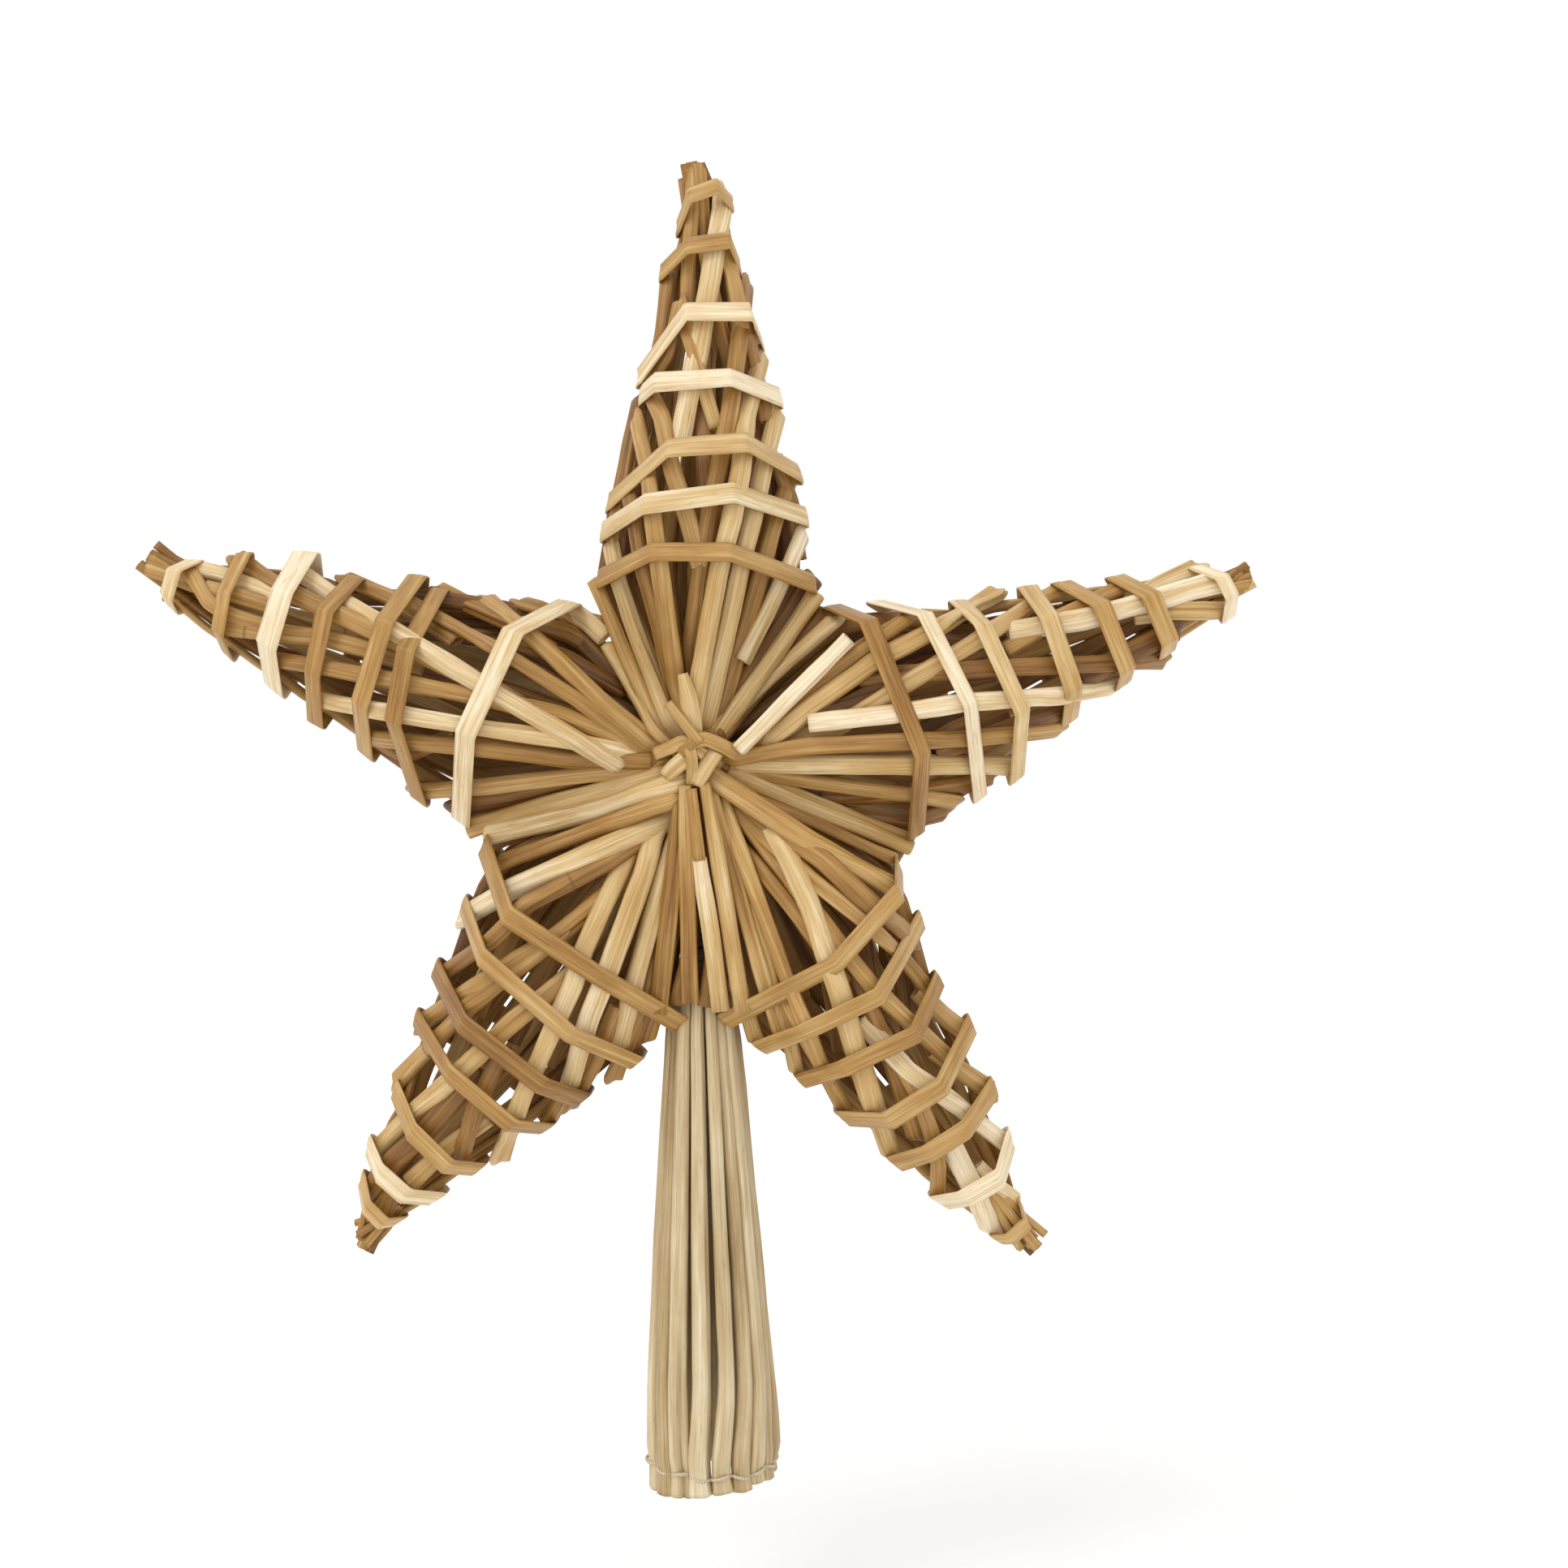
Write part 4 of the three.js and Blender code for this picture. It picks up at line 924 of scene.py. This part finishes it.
def backStraw(name, arm, number, way, tone):
    # a stalk behind, which runs from the centre under every band
    facing = -1
    key = f"{name}{facing}{number}"
    layer = number % 2
    varied = 1 + armBuild["widthVaries"] * swing(key, "width")
    width = armBuild["strawWidth"] * varied * armBuild["backWider"]
    drift = armBuild["crossing"] * swing(key, "drift") * (1 if layer else armBuild["upperCrossing"])
    flat = stalk["flatness"] / 2

    def insetAt(travel):
        here = width * mix(1, armBuild["tipWidth"], travel)
        under = here * 2 * flat * armBuild["underShare"] if layer else 0
        return here * flat + ribbon["thickness"] * armBuild["bandGap"] + under * travel

    knee, out = cageSpot(arm, facing, 0, way, insetAt(0))
    towards = Vector((knee.x - centre.x, 0, knee.z - centre.z)).normalized()
    share, varies = armBuild["lowerShare"]
    lower = armBuild["lowerStart"] * layer * (share + varies * swing(key, "begin"))
    begin = centre + towards * (armBuild["startReach"] + lower)
    level = armBuild["levelVaries"] * swing(key, "depth") - layer * armBuild["lowerLevel"]
    level += (number * 2) % 3 * armBuild["levelStep"]
    begin.y = -facing * (armBuild["startDepth"] + level * armBuild["layerDepth"])
    front = Vector((0, -facing, 0))
    fall = (begin - knee).normalized()
    points = [begin, begin.lerp(knee, 0.5) + front * (armBuild["sag"] * swing(key, "sag")),
              knee + fall * armBuild["kneeReach"] + out * armBuild["kneeBulge"], knee]
    normals = [front, (front + out * armBuild["kneeLean"]).normalized(), (front + out).normalized(), out]
    widths = list(armBuild["startWidths"])

    count = len(arm["bands"])
    toTip = number % 10 in armBuild["reachTip"]
    for i in range(1, count):
        travel = i / (count - 1)
        place, out = cageSpot(arm, facing, i, way + drift * travel, insetAt(travel))
        before = points[-1]
        share = mix(1, armBuild["tipWidth"], travel)
        points.append(before.lerp(place, 0.5) + out * (armBuild["bow"] * (1 + swing(key, "bow", i))))
        widths.append(share * armBuild["betweenWider"])
        normals.append(out)
        points.append(place)
        normals.append(out)
        widths.append(share)

    if toTip:
        across = (way - 0.5) * 2
        end = arm["tipPoint"] + arm["side"] * (across * armBuild["tipSpread"])
        lowered = armBuild["tipLower"] if layer else 1
        end.y = -facing * armBuild["tipSpread"] * (armBuild["tipDepth"] - abs(across)) * lowered
        end += arm["axis"] * (armBuild["tipVariation"] * swing(key, "end"))
    else:
        varied = 1 + armBuild["pastVaries"] * swing(key, "end")
        end = points[-1] + arm["axis"] * armBuild["pastLastBand"] * varied
    points.append(end)
    normals.append(normals[-1])
    widths.append(armBuild["tipWidth"] * armBuild["endWider"])
    return strawForm(points, [width * share for share in widths], normals,
                     tone + armBuild["toneVaries"] * swing(key, "tone"), key, openEnd=True, ease=0.5)


def faceDepth(arm, place):
    # how far the front of an arm, or of the fan at its base, stands out over a place
    def formAt(station):
        stations = arm["stations"]
        i = 0
        while i < len(stations) - 2 and station > stations[i + 1][0]:
            i += 1
        (first, a), (second, b) = stations[i], stations[i + 1]
        share = min(max((station - first) / (second - first), 0), 1)
        return [mix(x, y, share) for x, y in zip(a, b)]

    def depthIn(form, across):
        half, depth, shift, left, right, first, last = form
        at = (across - shift) / half
        if at < left:
            return mix(first, depth, max((at + 1) / (left + 1), 0))
        if at > right:
            return mix(last, depth, max((1 - at) / (1 - right), 0))
        return depth

    flat = place - arm["base"]
    station, across = flat.dot(arm["axis"]), flat.dot(arm["side"])
    start = arm["stations"][0][0]
    if station >= start:
        return depthIn(formAt(station), across)
    knot = centre - arm["base"]
    knotStation, knotAcross = knot.dot(arm["axis"]), knot.dot(arm["side"])
    share = max((station - knotStation) / (start - knotStation), armBuild["nearKnot"])
    onward = knotAcross + (across - knotAcross) / share
    return mix(armBuild["frontStart"], depthIn(formAt(start), onward), share)


def frontStraw(name, arm, number, spots, width, tone, layer, loose=False, folds=True):
    # a stalk in front, which lies under the bands and folds round the arm's edge where it ends
    key = f"{name}front{number}"
    wide = width / picture["pixelsPerMm"] * mm
    flatness = flatnessOf(key)
    inset = armBuild["frontInset"] + wide * flatness / 2
    line = []
    for (x, y), (nextX, nextY) in zip(spots, spots[1:]):
        pieces = max(round(math.hypot(nextX - x, nextY - y) / armBuild["frontStep"]), 1)
        line += [(mix(x, nextX, i / pieces), mix(y, nextY, i / pieces)) for i in range(pieces)]
    line.append(spots[-1])
    points, normals = [], []
    front = Vector((0, -1, 0))
    aside = arm["side"] * armBuild["slopeReach"]
    firstLayer, lastLayer = layer if isinstance(layer, tuple) else (layer, layer)
    for i, pixel in enumerate(line):
        lies = mix(firstLayer, lastLayer, i / (len(line) - 1)) * armBuild["layer"]
        depth = armBuild["frontGuess"]
        for _ in range(armBuild["depthTries"]):
            place = fromPicture(pixel, depth)
            slope = (faceDepth(arm, place + aside) - faceDepth(arm, place - aside)) / aside.length / 2
            depth = max(faceDepth(arm, place), armBuild["frontLeast"])
        slope = max(min(slope, armBuild["steepest"]), -armBuild["steepest"])
        depth = max(depth - inset * math.hypot(1, slope) - lies, armBuild["frontLowest"])
        points.append(fromPicture(pixel, depth))
        normals.append((front - arm["side"] * slope * armBuild["lean"]).normalized())
    varies = armBuild["frontVaries"]
    widths = [wide * (1 + varies * swing(key, "wide", i)) for i in range(len(points))]
    presses = [1] * len(points)
    x, y = centrePixel[0] - spots[0][0], centrePixel[1] - spots[0][1]
    away = math.hypot(x, y)
    if away > armBuild["sinksUnder"] and not (loose and folds):
        for i, pixel in enumerate(line):
            sunk = 1 - math.hypot(pixel[0] - spots[0][0], pixel[1] - spots[0][1]) / armBuild["sinkReach"]
            points[i].y += max(sunk, 0) * armBuild["tucked"] * armBuild["layer"]
    if not loose and armBuild["knotReach"] < away < armBuild["knotLimit"]:
        # its start is tucked in under the others, at the knot
        share = 1 - armBuild["knotReach"] / away
        depth = armBuild["frontStart"] - inset - (firstLayer + armBuild["tucked"]) * armBuild["layer"]
        points.insert(0, fromPicture((spots[0][0] + x * share, spots[0][1] + y * share), depth))
        normals.insert(0, front)
        widths.insert(0, wide * armBuild["tuckedWidth"])
        presses.insert(0, 1)
    if folds:
        onward = (points[-1] - points[-2]).normalized()
        end = points[-1] + onward * armBuild["foldReach"]
        end.y += armBuild["foldDepth"]
        points.append(end)
        normals.append(normals[-1])
        widths[-1:] = [wide * share for share in armBuild["foldWidths"]]
        presses[-1:] = armBuild["foldPresses"]
    return strawForm(points, widths, normals, tone, key, flatness=flatness, openStart=True,
                     openEnd=not folds, ease=0.6, presses=presses)


innerBuild = {
    "tone": (0.4, 0.12),            # and how much it varies
    "bands": (0, 2),                # the bands that it passes
    "widths": (0.7, 1, 0.8),        # along it, as shares
    "width": 0.9,                   # as a share of the other stalks' width
    "out": 0.86,                    # how far out it lies, as a share of the way to the band's edge
    "axisVaries": 1.5 * mm,
    "depthVaries": 2.5 * mm,
    "start": 5, "startVaries": 2,   # mm from the centre
    "startDepthVaries": 4.5 * mm,
}


def innerStraw(name, arm, number, way, tone):
    # a stalk that runs along the inside, near the mid-plane, from the centre to the third band
    key = f"{name}inner{number}"
    width = armBuild["strawWidth"] * innerBuild["width"]
    spots = []
    for i, band in enumerate(innerBuild["bands"]):
        spot = between(arm["rings"][1][band], way)
        spot = arm["middles"][band].lerp(Vector((spot.x, 0, spot.z)), innerBuild["out"])
        spot += arm["axis"] * (innerBuild["axisVaries"] * swing(key, i))
        spot.y = innerBuild["depthVaries"] * swing(key, "depth", i)
        spots.append(spot)
    towards = (spots[0] - centre).normalized()
    reach = innerBuild["start"] + innerBuild["startVaries"] * swing(key)
    begin = centre + Vector((towards.x, 0, towards.z)) * reach * mm
    begin.y = innerBuild["startDepthVaries"] * swing(key, "begin")
    return strawForm([begin] + spots, [width * share for share in innerBuild["widths"]],
                     [Vector((0, -1, 0))] * 3, tone, key, openEnd=True, ease=0.5)


def bandForm(name, arm, number):
    key = f"{name}band{number}"
    band = arm["bands"][number]
    corners = arm["rings"][1][number] + arm["rings"][-1][number][::-1]
    loop = roundedLoop(corners, ribbon["cornerRadius"])
    middle = arm["middles"][number]
    axis = arm["axis"]
    # a band lies flat on the stalks, whose slope follows the neighbouring rings
    other = number + 1 if number + 1 < len(arm["bands"]) else number - 1
    mineHalf = (corners[3] - corners[0]).length / 2
    otherRing = arm["rings"][1][other]
    otherHalf = (otherRing[3] - otherRing[0]).length / 2
    gap = (arm["middles"][other] - middle).dot(axis)
    slope = (mineHalf - otherHalf) / gap
    normals = []
    for i, point in enumerate(loop):
        ahead, behind = loop[(i + 1) % len(loop)], loop[i - 1]
        along = (ahead - behind).normalized()
        out = along.cross(axis)
        if out.dot(point - middle) < 0:
            out = -out
        normals.append((out.normalized() + axis * slope).normalized())
    width = band[4] / picture["pixelsPerMm"] * mm
    return ribbonForm(loop, normals, width, band[5], key)


for name, arm in arms.items():
    prepareArm(name, arm)
    fronts = [frontStraw(name, arm, i, *settings) for i, settings in enumerate(arm["stalks"])]
    addPiece(f"{name}FrontStraws", joinForms(fronts), goldenStraw,
             [f"{name}_arm_front_straws"])
    backs = []
    for kind, build, ways, (tone, varies) in (
            ("back", backStraw, armBuild["backWays"], armBuild["backTone"]),
            ("inner", innerStraw, armBuild["innerWays"], innerBuild["tone"])):
        backs += [build(name, arm, i, way, tone + varies * swing(name, kind, i))
                  for i, way in enumerate(ways)]
    addPiece(f"{name}BackStraws", joinForms(backs), brownStraw, [f"{name}_arm_back_straws"])
    for i in range(len(arm["bands"])):
        addPiece(f"{name}Band{i + 1}", bandForm(name, arm, i), paleStraw,
                 [f"{name}_arm_band_{i + 1}"])
print("arms ready")


# The socket: stalks side by side in a cone, drawn in to a neck between the lower arms
socket = {
    "count": 18,
    "stations": (                    # height, outer radius, width of a stalk
        (0.0, 14.2, 5.6), (4.4, 14.0, 4.8), (8.5, 14.9, 5.0), (24.0, 14.1, 4.3), (54.0, 11.9, 3.9),
        (92.0, 8.8, 3.2), (99.0, 8.2, 3.0),
    ),
    "widths": (
        0.9, 0.94, 1.02, 0.98, 1.06, 0.96, 1.02, 0.98, 1.04,
        0.96, 0.92, 0.98, 0.99, 0.97, 0.82, 0.82, 0.86, 0.88,
    ),
    "rimRise": 1.7,                  # how much higher the cut ends lie on one side, and about where
    "rimLevel": 0.4,
    "rimTurn": 0.35,
    "cutVaries": 0.4,
    "turnVaries": 0.02,              # radians
    "swayVaries": 0.012,
    "inset": 0.42,                   # from a stalk's outer face to its middle, as a share of its width
    "everySecond": 0.5,              # how much deeper every second stalk lies
    "flatness": 0.86,
    "shoulderStations": ((107.0, 7.4, 2.8),),
    "neckStations": ((107.0, 6.4, 2.6), (113.0, 4.2, 2.0), (121.0, 3.2, 1.7)),
    # how far each stalk is turned aside, in radians, which opens slits in front
    "turned": (0.06, 0.03, 0, 0, 0, 0, 0.02, 0, 0, -0.04, -0.07, -0.09, -0.044, 0.08, 0.15, 0.16, 0.14, 0.1),
    "turnedShares": (0.2, 0.1, 0.1),             # at the lowest stations; in full above them
    "centreX": -3.7, "centreZ": 159.0,
    "tones": (0.6, 0.68, 0.56, 0.68, 0.76, 0.7, 0.64, 0.74, 0.62),
}


def socketAxis(height):
    return Vector((socket["centreX"] * height / socket["centreZ"] * mm, 0, height * mm))


def socketStraw(number, reachesNeck):
    key = f"socket{number}"
    turn = 2 * math.pi * number / socket["count"] + socket["turnVaries"] * swing(key, "turn")
    turned = socket["turned"][number]
    out = Vector((math.cos(turn + turned), math.sin(turn + turned), 0))
    stations = socket["stations"] + socket["neckStations" if reachesNeck else "shoulderStations"]
    points, widths = [], []
    for i, (height, radius, width) in enumerate(stations):
        if i == 0:
            rise = socket["rimRise"] * (socket["rimLevel"] + math.cos(turn - socket["rimTurn"]))
            height += socket["cutVaries"] * swing(key, "cut") + rise
        share = socket["turnedShares"][i] if i < len(socket["turnedShares"]) else 1
        sway = turned * share + socket["swayVaries"] * swing(key, "sway", i)
        direction = Vector((math.cos(turn + sway), math.sin(turn + sway), 0))
        width *= socket["widths"][number]
        inner = radius - width * socket["inset"] - socket["everySecond"] * (number % 2) * (i > 1)
        points.append(socketAxis(height) + direction * inner * mm)
        widths.append(width * mm)
    tone = socket["tones"][number % len(socket["tones"])]
    return strawForm(points, widths, [out] * len(points), tone, key, openStart=True,
                     flatness=socket["flatness"], nodes=False)


sectorNames = ("right", "back_right", "back_left", "left", "front_left", "front_right")
perSector = socket["count"] // len(sectorNames)
for sector, name in enumerate(sectorNames):
    forms = []
    for i in range(perSector):
        place = i - perSector // 2
        forms.append(socketStraw((sector * perSector + place) % socket["count"], place == 0))
    addPiece("socketStraws" + name.title().replace("_", ""), joinForms(forms), greyedStraw,
             [f"socket_straws_{name}"])


stitch = {                           # in mm
    "height": 4.4,
    "stepsPerStraw": 8,
    "inmost": 12.6,                  # the thread's radius in a slit
    "standsOut": 1.8,                # how much more it is over a stalk
    "fullness": 0.6,
    "waver": 0.5,                    # how it rises and falls from stalk to stalk, and round the mouth
    "tilt": 0.4,
    "waverTurn": 0.6, "tiltTurn": 1,    # where they start, in radians
    "width": 0.65,
    "thickness": 0.6,
    "tone": 0.5,
}


def stitching():
    # running stitches round the mouth: over each stalk, and in at each slit
    count = socket["count"]
    steps = count * stitch["stepsPerStraw"]
    points, normals = [], []
    for i in range(steps):
        turn = 2 * math.pi * i / steps
        dip = abs(math.sin(turn * count / 2 + math.pi / 2))
        rise = (stitch["waver"] * math.sin(turn * count / 2 + stitch["waverTurn"])
                + stitch["tilt"] * math.sin(turn * 2 + stitch["tiltTurn"]))
        radius = stitch["inmost"] + stitch["standsOut"] * dip ** stitch["fullness"]
        out = Vector((math.cos(turn), math.sin(turn), 0))
        points.append(socketAxis(stitch["height"] + rise) + out * radius * mm)
        normals.append(out)
    return ribbonForm(points, normals, stitch["width"] * mm, stitch["tone"], "thread",
                      thickness=stitch["thickness"] * mm)


addPiece("mouthStitching", stitching(), sewingCotton, ["mouth_stitching"])


lashed = {                           # in mm
    "turns": 5,
    "pitch": 3.0,
    "stepsPerTurn": 20,
    "bottom": 104.5,
    "radius": 4.1,
    "width": 2.9,
    "tone": 0.2,
}


def lashing():
    # turns of damp straw twisted tight round the neck
    points, normals = [], []
    steps = lashed["stepsPerTurn"]
    for i in range(lashed["turns"] * steps + 1):
        turn = 2 * math.pi * i / steps
        height = lashed["bottom"] + lashed["pitch"] * i / steps
        out = Vector((math.cos(turn), math.sin(turn), 0))
        points.append(socketAxis(height) + out * lashed["radius"] * mm)
        normals.append(out)
    return ribbonForm(points, normals, lashed["width"] * mm, lashed["tone"], "lashing", closed=False)


addPiece("neckLashing", lashing(), brownStraw, ["neck_lashing"])
print("socket ready")


# The centre: ties, hanging straws and loose ends, read from the picture with their depths in mm
def pictureStraw(spots, widths, tone, key, **settings):
    points = [fromPicture((x, y), depth * mm) for x, y, depth in spots]
    scale = mm / picture["pixelsPerMm"]
    return strawForm(points, [width * scale for width in widths], [Vector((0, -1, 0))] * len(points),
                     tone, key, **settings)


def pictureRibbon(spots, width, tone, key, ends, facing):
    points = [fromPicture((x, y), depth * mm) for x, y, depth in spots]
    points = [place for place, _ in smoothLine(points, ribbon["stepsPerSpot"])]
    if facing < 0:
        points = [Vector((p.x, -p.y, p.z)) for p in points][::-1]
    shares = None
    if ends:
        shares = [valueAt(ends, i / (len(points) - 1) * (len(ends) - 1)) for i in range(len(points))]
    return ribbonForm(points, [Vector((0, -facing, 0))] * len(points),
                      width / picture["pixelsPerMm"] * mm, tone, key, closed=False, ends=shares)


# name, pixels and depths, width in pixels, tone, and shares of the width along it
knot = [
    ("tieA", [(806, 929, 10.5), (824, 922, 12.8), (842, 914, 13.6), (856, 921, 13.9), (868, 930, 13.2)],
     16, 0.62, None),
    ("tieB", [(846, 925, 13.2), (856, 914, 14.4), (870, 911, 14.2), (890, 919, 12.9), (911, 931, 10.5)],
     17, 0.55, None),
    ("tieC", [(853, 912, 13.0), (850, 922, 14.6), (852, 934, 14.4), (853, 950, 12.6), (853, 968, 11.2)],
     15, 0.6, None),
    ("tieD", [(862, 908, 13.4), (853, 916, 15.0), (843, 925, 14.2), (838, 930, 12.6)], 12, 0.45, None),
    # a stub, a strip that crosses the knot, and two folded pale ends under it
    ("stub", [(858, 908, 12.4), (851, 872, 13.8), (841, 830, 14.4)], 22, 0.72, (0.8, 1, 1, 0.55)),
    ("strip", [(823, 866, 12.8), (842, 890, 14.4), (862, 916, 14.8)], 13, 0.6, None),
    ("endA", [(819, 957, 11.2), (834, 943, 12.9), (854, 926, 13.0)], 21, 0.74, (0.8, 1, 1, 1)),
    ("endB", [(858, 968, 12.0), (867, 950, 12.8), (882, 926, 12.8)], 18, 0.72, (0.7, 1, 1, 1)),
]
knotCore = {"reach": 12.4 * mm, "widths": (10 * mm, 7.5 * mm), "tone": 0.34, "flatness": 0.95}


def centreTie(facing):
    forms = [pictureRibbon(spots, width, tone, f"{key}{facing}", ends, facing)
             for key, spots, width, tone, ends in knot]
    # behind the ties, the bundle that they are pulled round
    middle = Vector((centre.x, 0, centre.z))
    forms.append(strawForm([middle, middle + Vector((0, -facing * knotCore["reach"], 0))],
                           knotCore["widths"], [Vector((0, 0, 1))] * 2, knotCore["tone"],
                           f"core{facing}", flatness=knotCore["flatness"]))
    return joinForms(forms)


for name, facing in (("front", 1), ("back", -1)):
    addPiece(f"{name}CentreTie", centreTie(facing), paleStraw, [f"{name}_centre_tie"])

# pixels and depths, widths in pixels, tone
hanging = [
    ([(852, 972, 12.6), (857, 1016, 13.0), (862, 1060, 12.8)], [13, 14, 15], 0.56),
    ([(862, 1057, 12.4), (868, 1100, 12.4), (876, 1150, 11.8), (888, 1246, 10.6)], [17, 21, 22, 22], 0.76),
    ([(844, 968, 11.6), (845, 1016, 12.0), (847, 1100, 11.8), (850, 1236, 10.4)], [15, 20, 20, 22], 0.6),
    ([(836, 990, 10.8), (833, 1040, 11.4), (824, 1130, 11.2), (811, 1249, 10.0)], [15, 21, 23, 23], 0.52),
    ([(868, 964, 11.6), (880, 1030, 11.8), (895, 1120, 11.4), (915, 1246, 10.0)], [14, 19, 21, 21], 0.66),
    ([(860, 990, 9.4), (858, 1060, 9.4), (853, 1150, 9.0), (832, 1238, 8.4)], [12, 16, 18, 18], 0.34),
    ([(866, 990, 9.4), (876, 1060, 9.2), (880, 1150, 8.8), (868, 1240, 8.2)], [12, 16, 18, 18], 0.38),
]
for name, facing in (("front", 1), ("back", -1)):
    forms = []
    for i, (spots, widths, tone) in enumerate(hanging):
        forms.append(pictureStraw(spots, widths, tone, f"hanging{name}{i}", openEnd=True))
    whole = joinForms(forms)
    if facing < 0:
        # the same stalks mirrored, with their faces turned to suit
        whole["points"] = [Vector((p.x, -p.y, p.z)) for p in whole["points"]]
        whole["faces"] = [face[::-1] for face in whole["faces"]]
        whole["places"] = [place[::-1] for place in whole["places"]]
    addPiece(f"{name}HangingStraws", whole, goldenStraw, [f"{name}_hanging_straws"])
print("centre ready")


# Floor, light and camera
studio = {
    "floorDrop": 42 * mm,
    "floorRadius": 12.0,
    "worldStrength": 1.0,
    "floorCorners": 64,
    "boardSpots": 60,                # noise per metre
    "boardRoughness": 0.9,
    "light": (-0.6, -0.8, 1.1),      # where it shines from
    "lightSpread": 30,               # degrees
    "lightStrength": 0.9,
}


def paleBoard():
    # smooth board, matt and nearly white, so that it takes soft shadows
    material = bpy.data.materials.new("pale board, matt")
    material.use_nodes = True
    tree = material.node_tree
    shader = tree.nodes["Principled BSDF"]
    spots = addNode(tree, "ShaderNodeTexNoise", inputs={"Scale": studio["boardSpots"], "Detail": 2})
    color = addNode(tree, "ShaderNodeMix", {"data_type": "RGBA"},
                    {"A": hexColor("F6F6F5"), "B": hexColor("FBFBFA")}, {"Factor": spots.outputs["Fac"]})
    tree.links.new(color.outputs["Result"], shader.inputs["Base Color"])
    shader.inputs["Roughness"].default_value = studio["boardRoughness"]
    return material


def floor():
    mesh = bpy.data.meshes.new("floor")
    corners, radius = studio["floorCorners"], studio["floorRadius"]
    turns = [2 * math.pi * i / corners for i in range(corners)]
    points = [(radius * math.cos(turn), radius * math.sin(turn), -studio["floorDrop"]) for turn in turns]
    mesh.from_pydata(points, [], [tuple(range(corners))])
    mesh.materials.append(paleBoard())
    piece = bpy.data.objects.new("floor", mesh)
    bpy.context.scene.collection.objects.link(piece)


def softLight():
    light = bpy.data.lights.new("key", "SUN")
    light.angle = math.radians(studio["lightSpread"])
    light.energy = studio["lightStrength"]
    lamp = bpy.data.objects.new("key", light)
    lamp.location = studio["light"]
    lamp.rotation_euler = (-Vector(studio["light"])).to_track_quat("-Z", "Y").to_euler()
    bpy.context.scene.collection.objects.link(lamp)


floor()
softLight()

world = bpy.data.worlds.new("studio")
bpy.context.scene.world = world
world.use_nodes = True
sky = world.node_tree.nodes["Background"]
sky.inputs["Color"].default_value = (1, 1, 1, 1)
sky.inputs["Strength"].default_value = studio["worldStrength"]

camera = bpy.data.cameras.new("camera")
camera.sensor_width = picture["sensor"]
camera.sensor_fit = "HORIZONTAL"
frameWidth = picture["frameSide"] / picture["pixelsPerMm"] * mm
camera.lens = picture["sensor"] * picture["cameraDistance"] / frameWidth
camera.clip_start = 0.01
viewpoint = bpy.data.objects.new("camera", camera)
viewpoint.location = (cameraX, -picture["cameraDistance"], cameraZ)
viewpoint.rotation_euler = (math.pi / 2, 0, 0)
bpy.context.scene.collection.objects.link(viewpoint)
bpy.context.scene.camera = viewpoint
bpy.context.scene.view_settings.view_transform = "Standard"
print("studio ready")
